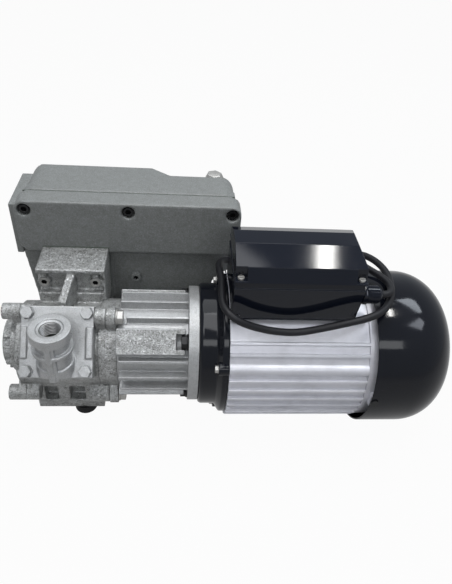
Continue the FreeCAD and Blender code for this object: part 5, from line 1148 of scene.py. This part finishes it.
@dataclass
class InletPort:
    """The tilted inlet plate with its upright port, side pads, ringed neck, pipe thread and valve spring."""

    middle: float = -135.0
    front: float = -52.2
    tilt: float = 46.0
    face: float = 53.5
    half: float = 34.0
    grain: float = 0.57
    passes: int = 2
    pad_margin: float = 0.4
    pad_reach: Pair = (-15.7, 14.6)
    pad_width: float = 6.5
    pad_root: float = -2.0
    pad_height: float = 1.9
    pad_edge: float = 1.0
    # The heights of each groove's ledge and upper edge.
    grooves: tuple[Pair, ...] = ((47.5, 58.8), (27.5, 42.8))
    groove_radius: float = 15.2
    groove_reach: float = 23.0
    groove_room: tuple[Triple, Triple] = ((-40.0, -60.0, 0.4), (40.0, 60.0, 60.0))
    groove_sides: int = 72
    # The left side, right side and front of each rib.
    rib: tuple[Triple, ...] = ((-138.3, -132.7, -71.1), (-132.7, -129.9, -69.3))
    rib_span: Pair = (16.0, 60.0)
    rib_depth: float = 9.0
    crest_radius: float = 8.35
    thread_radius: float = 9.7
    # The liner's bottom, top, inner radius and outer radius.
    liner: tuple[float, float, float, float] = (40.0, 67.2, 9.1, 9.7)
    pitch: float = 1.814
    flank: float = 0.47
    thread_top: float = 66.8
    turns: int = 8
    thread_steps: int = 40

    def on_plate(self, across: float, along: float, out: float) -> Vector:
        """A point measured on the tilted plate, in metres in the row frame."""
        cosine, sine = math.cos(math.radians(self.tilt)), math.sin(math.radians(self.tilt))
        return at(across, along * cosine - out * sine, along * sine + out * cosine)

    def pad(self, side: int) -> Piece:
        """A raised pad along one side edge of the plate.

        Args:
            side: -1 for the left edge, 1 for the right one.

        Returns:
            The pad.
        """
        outer = self.half - self.pad_margin
        left, right = sorted((side * outer, side * (outer - self.pad_width)))
        low, high = self.pad_reach
        piece = Bench.block("pad", Vector((left, low, self.pad_root)) * MM,
                            Vector((right, high, self.pad_height)) * MM)
        Bench.apply(piece, "BEVEL", width=self.pad_edge * MM, segments=2)
        piece.data.transform(tilted(self.on_plate(self.middle, 0.0, self.face), self.tilt))
        return piece

    def thread(self) -> Piece:
        """The helical ridge of the pipe thread inside the port.

        Returns:
            The closed thread.
        """
        mesh = bpy.data.meshes.new("port_thread")
        half = self.pitch * self.flank
        corners = [(self.thread_radius, -half), (self.crest_radius, 0.0), (self.thread_radius, half)]
        mesh.from_pydata([Vector((radius, 0.0, height)) * MM for radius, height in corners],
                         [(0, 1), (1, 2), (2, 0)], [])
        piece = Bench.new("port_thread", mesh)
        Bench.apply(piece, "SCREW", angle=FULL_TURN, screw_offset=-self.pitch * MM, iterations=self.turns,
                    steps=self.thread_steps, render_steps=self.thread_steps, axis="Z")
        with Bench.editing(piece):
            bpy.ops.mesh.remove_doubles(threshold=SAME_PLACE)
            bpy.ops.mesh.select_all(action="DESELECT")
            bpy.ops.mesh.select_mode(type="EDGE")
            bpy.ops.mesh.select_non_manifold()
            bpy.ops.mesh.fill()
            bpy.ops.mesh.select_all(action="SELECT")
            bpy.ops.mesh.normals_make_consistent(inside=False)
        piece.data.transform(Matrix.Translation(at(self.middle, self.front, self.thread_top)))
        return Bench.smooth(piece, angle=25)

    def bore(self) -> Piece:
        """The wall of the bore behind the thread, dark with painted shade.

        Returns:
            A thin closed tube.
        """
        low, high, inner, outer = self.liner
        outline = ((low, inner), (high, inner), (high, outer), (low, outer))
        middle = at(self.middle, self.front, 0.0)
        return Bench.smooth(Bench.lathe("port_bore", outline, middle, Axis.Z, steps=64))

    def groove(self, low: float, high: float) -> Piece:
        """The tool for a groove around the front of the neck, clear of the plate.

        Args:
            low: The height of the ledge under it.
            high: The height of the edge over it.

        Returns:
            The tool.
        """
        past = 1.0
        ring = Bench.rod("groove", at(self.middle, self.front, low), Axis.Z, (high - low) * MM,
                         self.groove_reach * MM, sides=self.groove_sides)
        core = Bench.rod("groove_core", at(self.middle, self.front, low - past), Axis.Z,
                         (high - low + 2 * past) * MM, self.groove_radius * MM, sides=self.groove_sides)
        Bench.carve(ring, core)
        room = Bench.block("groove_room", *(Vector(corner) * MM for corner in self.groove_room))
        room.data.transform(tilted(self.on_plate(self.middle, 0.0, self.face), self.tilt))
        return Bench.carve(ring, room, Cut.INSIDE)

    def build(self) -> None:
        """Makes the plate with its port, the thread, the bore behind it and the spring."""
        casting = Bench.copy_of("inlet_casting", ["inlet_flange"], 0.0)
        for low, high in self.grooves:
            Bench.carve(casting, self.groove(low, high))
        low, high = self.rib_span
        ribs = [Bench.block("front_rib", at(left, front, low), at(right, front + self.rib_depth, high))
                for left, right, front in self.rib]
        whole = Bench.join("inlet_casting", [casting, self.pad(-1), self.pad(1), *ribs])
        piece = Bench.cast(whole, self.grain * MM, self.passes)
        hand_over(piece, "cast_paint", ("inlet_flange",), finishes=("fine_paint",))
        hand_over(self.thread(), "iron")
        # A thin tube inside the port whose dark colour is painted shade.
        hand_over(self.bore(), "iron", finishes=("bore_painted_shade",))
        self.spring()

    @staticmethod
    def spring() -> None:
        """The spring under the valve disc, which shortens as the valve opens; here it is copied as it stands
        in its node.
        """
        wire = Bench.copy_of("valve_spring_wire", ["valve_spring"], 0.0)
        hand_over(wire, "steel", ("valve_spring",))
        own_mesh(wire)


@dataclass
class MotorShield:
    """The gloss black drive-side shield: a turned drum that flares to the frame, with four tie lugs."""

    outline: tuple[Pair, ...] = (
        (-3.0, 12.5), (-3.0, 39.9), (0.2, 39.9), (0.2, 60.6), (0.9, 62.3), (3.2, 63.5), (17.0, 63.5),
        (22.0, 71.5), (28.0, 71.5), (28.0, 66.0), (19.0, 57.5), (9.0, 57.5), (9.0, 28.5), (18.0, 28.5),
        (18.0, 23.5), (4.0, 23.5), (4.0, 12.5),
    )
    lug_angles: tuple[float, ...] = (156.0, 246.0, 336.0, 66.0)
    lug_circle: float = 69.0
    lug_radius: float = 6.5
    lug_start: float = 18.0
    lug_end: float = 28.0
    lug_edge: float = 0.7
    edge: float = 1.1
    edge_angle: float = 20.0

    def build(self) -> None:
        """Turns the shield and sets its lugs."""
        drum = Bench.lathe("shield_drum", self.outline, at(0.0, 0.0, 0.0), steps=LARGE_ROUND)
        Bench.apply(drum, "BEVEL", width=self.edge * MM, segments=3, limit_method="ANGLE",
                    angle_limit=math.radians(self.edge_angle), use_clamp_overlap=False)
        lug = Bench.rod("lug", Vector(), Axis.X, (self.lug_end - self.lug_start) * MM,
                        self.lug_radius * MM, sides=SMALL_ROUND)
        Bench.apply(lug, "BEVEL", width=self.lug_edge * MM, segments=2, limit_method="ANGLE")
        lugs = [lug] + [Bench.new("lug", lug.data.copy()) for _ in self.lug_angles[1:]]
        for item, angle in zip(lugs, self.lug_angles):
            turn = math.radians(angle)
            place = at(self.lug_start, self.lug_circle * math.cos(turn), self.lug_circle * math.sin(turn))
            item.data.transform(Matrix.Translation(place))
        piece = Bench.smooth(Bench.join("motor_shield_drum", [drum, *lugs]))
        hand_over(piece, "black_paint", ("motor_front_shield",))


@dataclass
class FanCowl:
    """The gloss black fan cowl: a spun shell with a domed end and a slotted grille."""

    rim: float = 168.4
    end: float = 257.0
    radius: float = 80.7
    wall: float = 1.5
    dome: float = 47.0
    arc_steps: int = 18
    # The points of the rounded rim: how far along from the rim, and out from the shell.
    rim_round: tuple[Pair, ...] = ((0.9, 0.0), (0.25, -0.2), (0.0, -0.75))
    inner_rim: float = 0.2
    grille_radius: float = 31.0
    grille_margin: float = 0.9
    slot: float = 3.4
    slot_edge: float = 1.4
    slot_span: Pair = (-8.0, 1.0)
    bridge: float = 1.6
    rows: int = 4

    def outline(self) -> list[Pair]:
        """The shell's section, from the outer middle to the inner middle.

        Returns:
            Stations and radii in millimetres.
        """
        outer = [(self.end, 0.0)]
        inner = [(self.end - self.wall, 0.0)]
        for step in range(self.arc_steps + 1):
            turn = math.pi / 2 * step / self.arc_steps
            for line, dome in ((outer, self.dome), (inner, self.dome - self.wall)):
                line.append((self.end - self.dome + dome * math.cos(turn),
                             self.radius - self.dome + dome * math.sin(turn)))
        outer += [(self.rim + along, self.radius + out) for along, out in self.rim_round]
        inner += [(self.rim + self.inner_rim, self.radius - self.wall)]
        return outer + inner[::-1]

    def build(self) -> None:
        """Spins the shell and cuts its grille."""
        shell = Bench.lathe("cowl_shell", self.outline(), at(0.0, 0.0, 0.0), steps=LARGE_ROUND)
        slots = []
        begin, stop = (self.end + reach for reach in self.slot_span)
        for row in range(-self.rows, self.rows + 1):
            share = row / (self.rows + self.grille_margin)
            height = self.grille_radius * share
            half = self.grille_radius * math.sqrt(1 - share * share)
            for low, high in ((self.bridge, half), (-half, -self.bridge)):
                tool = Bench.block("slot", at(begin, low, height - self.slot / 2),
                                   at(stop, high, height + self.slot / 2))
                Bench.apply(tool, "BEVEL", width=self.slot_edge * MM, segments=3)
                slots.append(tool)
        Bench.carve(shell, Bench.join("slots", slots))
        hand_over(Bench.smooth(shell, SHARP), "black_paint", ("fan_cowl",))


@dataclass
class TerminalBox:
    """The moulded terminal box: a base with a recessed collar, and a faceted lid."""

    edges: tuple[tuple[str, float, float], ...] = (
        ("terminal_box_base", 0.9, 28.0), ("terminal_box_lid", 0.4, 9.0),
    )

    def build(self) -> None:
        """Rounds the edges of the base and the lid."""
        for node, width, angle in self.edges:
            hand_over(Bench.softened(f"{node}_moulding", node, width, 2, angle), "black_plastic", (node,))


@dataclass
class Gland:
    """The cable gland: a hexagonal collar and a ribbed dome nut."""

    start: float = 148.2
    side: float = -31.0
    height: float = 97.0
    radius: float = 9.0
    collar: float = 4.0
    nut: float = 11.5
    tip: float = 4.0
    bore: float = 3.5
    ribs: int = 18
    rib_margin: float = 0.15
    rib_height: float = 0.7
    collar_share: float = 1.13
    collar_edge: float = 0.7
    # How much smaller than the gland the nut is at its first and its far face.
    nut_taper: Pair = (0.9, 1.2)
    nut_edge: float = 0.2
    # Places along the dome from the nut, and how much smaller than the gland it is there.
    dome: tuple[Pair, ...] = ((0.0, 1.3), (1.4, 2.0), (2.8, 3.2))
    lip: float = 0.9
    lip_edge: float = 0.2
    mouth_depth: float = 1.5
    # The length and radius of the spigot that goes into the box.
    spigot: Pair = (11.8, 4.9)

    def build(self) -> None:
        """Makes the collar and the nut, with a flute between each two ribs."""
        begin = at(self.start, self.side, self.height)
        collar = Bench.rod("gland_collar", begin, Axis.X, self.collar * MM,
                           self.radius * self.collar_share * MM, sides=HEXAGON)
        Bench.apply(collar, "BEVEL", width=self.collar_edge * MM, segments=2)
        first, last = (self.radius - less for less in self.nut_taper)
        nut = Bench.rod("gland_nut", begin + Vector((self.collar * MM, 0, 0)), Axis.X, self.nut * MM,
                        first * MM, last * MM, self.ribs * 2)
        step = math.pi / self.ribs

        def is_rib(middle: Vector, normal: Vector) -> bool:
            """True for every second face around the nut."""
            turn = math.atan2(middle.z - begin.z, middle.y - begin.y)
            return abs(normal.x) < 0.5 and int(math.floor(turn / step)) % 2 == 0

        with Bench.editing(nut):
            Bench.pick(nut, is_rib)
            bpy.ops.mesh.inset(thickness=self.rib_margin * MM, use_individual=True)
            outwards = {"value": self.rib_height * MM}
            bpy.ops.mesh.extrude_region_shrink_fatten(TRANSFORM_OT_shrink_fatten=outwards)
        Bench.apply(nut, "BEVEL", width=self.nut_edge * MM, segments=1, limit_method="ANGLE")
        face = self.start + self.collar + self.nut
        end = face + self.tip
        shoulder = [(face + along, self.radius - less) for along, less in self.dome]
        outline = ((face, 0.0), *shoulder, (end, self.bore + self.lip), (end - self.lip_edge, self.bore),
                   (end - self.mouth_depth, 0.0))
        dome = Bench.lathe("gland_dome", outline, at(0.0, self.side, self.height), steps=48)
        spigot_length, spigot_radius = self.spigot
        spigot = Bench.rod("gland_spigot", begin, Axis.LEFT, spigot_length * MM, spigot_radius * MM,
                           sides=SMALL_ROUND)
        piece = Bench.smooth(Bench.join("gland_body", [collar, nut, dome, spigot]))
        hand_over(piece, "black_plastic", ("cable_gland",))


@dataclass
class Motor:
    """The finned frame of the motor with lightly broken edges."""

    edge: float = 0.35

    def build(self) -> None:
        """Breaks the edges of the frame's fins."""
        piece = Bench.softened("finned_frame", "motor_frame", self.edge, segments=1, angle=50)
        hand_over(piece, "raw_aluminium", ("motor_frame",))


@dataclass
class FillerPlug:
    """The oil filler plug: a tapered hexagon with a rounded crown."""

    middle: Pair = (15.8, 131.0)
    low: float = 121.6
    high: float = 130.0
    foot: float = 12.4
    crown: float = 8.1
    turn: float = 12.0
    # The shank's bottom, top and radius.
    shank: Triple = (108.0, 122.0, 9.4)
    shank_edge: float = 0.5
    head_edge: float = 0.9

    def build(self) -> None:
        """Makes the head and the shank under it."""
        bottom, top, radius = self.shank
        shank = Bench.rod("filler_plug_shank", at(*self.middle, bottom), Axis.Z, (top - bottom) * MM,
                          radius * MM)
        Bench.apply(shank, "BEVEL", width=self.shank_edge * MM, segments=2, limit_method="ANGLE")
        head = Bench.rod("filler_plug_head", at(*self.middle, self.low), Axis.Z, (self.high - self.low) * MM,
                         self.foot * MM, self.crown * MM, sides=HEXAGON)
        with Bench.editing(head):
            bpy.ops.transform.rotate(value=math.radians(self.turn), orient_axis="Z",
                                     center_override=at(*self.middle, 0.0))
        Bench.apply(head, "BEVEL", width=self.head_edge * MM, segments=3)
        piece = Bench.smooth(Bench.join("filler_plug_body", [head, shank]), angle=30)
        hand_over(piece, "zinc", ("filler_plug",))


@dataclass
class Fasteners:
    """The visible bolts and screws, with their edges broken and painted shade inside their sockets."""

    edges: tuple[tuple[str, float], ...] = (
        ("inlet_flange_bolts", 0.5), ("drive_plate_bolts", 0.5), ("flange_bolts", 0.5), ("tie_bolts", 0.3),
        ("end_cover_screws", 0.35), ("lid_screws", 0.25),
    )
    socket_sets: tuple[tuple[str, float, str], ...] = (
        ("block_screws", 5.1, "zinc"), ("cover_screws", 5.1, "black_oxide"),
    )
    socket_edge: float = 0.35
    socket_corner: float = 1.2
    # Where the painted shade inside a socket starts and ends, behind the front of the head.
    socket_depth: Pair = (0.4, 6.0)
    painted: Triple = (-68.0, 62.0, 36.0)
    painted_radius: float = 5.2
    painted_skin: float = 0.15
    painted_edge: float = 0.5
    painted_length: float = 6.0
    painted_socket: float = 2.95
    painted_rise: float = 2.0
    painted_depth: float = 5.5

    @staticmethod
    def islands(work: bmesh.types.BMesh) -> Iterator[set[bmesh.types.BMVert]]:
        """The separate bodies of a mesh.

        Args:
            work: The mesh to look through.

        Returns:
            The corners of each body, one set after another.
        """
        left = set(work.verts)
        while left:
            island, edge = set(), [left.pop()]
            while edge:
                corner = edge.pop()
                island.add(corner)
                for link in corner.link_edges:
                    other = link.other_vert(corner)
                    if other in left:
                        left.remove(other)
                        edge.append(other)
            yield island

    def paint_socket_shade(self, piece: Piece, reach: float) -> None:
        """Gives the faces inside the sockets of forward-facing screws the second finish, which is painted
        shade.

        Args:
            piece: The screws.
            reach: How far from a screw's axis its socket goes, in metres.
        """
        work = bmesh.new()
        work.from_mesh(piece.data)
        for island in self.islands(work):
            side = (min(v.co.x for v in island) + max(v.co.x for v in island)) / 2
            height = (min(v.co.z for v in island) + max(v.co.z for v in island)) / 2
            front = min(v.co.y for v in island)
            mouth, bottom = (front + depth * MM for depth in self.socket_depth)
            for face in {face for corner in island for face in corner.link_faces}:
                middle = face.calc_center_median()
                near = math.hypot(middle.x - side, middle.z - height) < reach
                if near and mouth < middle.y < bottom:
                    face.material_index = 1
        work.to_mesh(piece.data)
        work.free()

    def painted_head(self) -> Piece:
        """The painted skin over the head of the screw in the oil box's cover.

        Returns:
            The skin, with the screw's hexagon socket open.
        """
        place, ahead = at(*self.painted), Axis.Y.vector * MM
        skin = Bench.rod("painted_head", place - ahead * self.painted_skin, Axis.Y,
                         self.painted_length * MM, self.painted_radius * MM)
        hole = Bench.rod("painted_socket", place - ahead * self.painted_rise, Axis.Y,
                         self.painted_depth * MM, self.painted_socket * MM, sides=HEXAGON)
        Bench.carve(skin, hole)
        return Bench.soften(skin, self.painted_edge * MM, angle=SHARP)

    def build(self) -> None:
        """Breaks the edges of each set and paints shade inside its sockets."""
        for node, width in self.edges:
            piece = Bench.softened(f"{node}_set", node, width, segments=2, angle=SHARP)
            finish = "fine_paint" if SLOTS[node] == "cast_paint" else SLOTS[node]
            hand_over(piece, SLOTS[node], (node,), finishes=(finish,))
        for node, socket, finish in self.socket_sets:
            piece = Bench.softened(f"{node}_set", node, self.socket_edge, segments=2, angle=SHARP)
            # The faces inside each socket get painted shade.
            self.paint_socket_shade(piece, socket / 2 * self.socket_corner * MM)
            hand_over(piece, SLOTS[node], (node,), finishes=(finish, "socket_painted_shade"))
        hand_over(self.painted_head(), "smooth_paint")


def dress_nodes() -> None:
    """Gives every carried CAD node the finish of its slot."""
    for node, item in frame["nodes"].items():
        item.data.materials.clear()
        item.data.materials.append(FINISHES[SLOTS[node]])
        for face in item.data.polygons:
            face.material_index = 0
    LOG.info("dressed %d nodes, %d replaced", len(frame["nodes"]), len(REPLACED))


def main() -> None:
    """Builds the sub-assemblies in order."""
    for kind in (Studio, SupplyCable, Castings, OilBox, Lantern, InletPort, MotorShield, FanCowl, TerminalBox,
                 Gland, Motor, FillerPlug, Fasteners):
        LOG.info("building %s", kind.__name__)
        kind().build()
    dress_nodes()


if __name__ == "__main__":
    main()
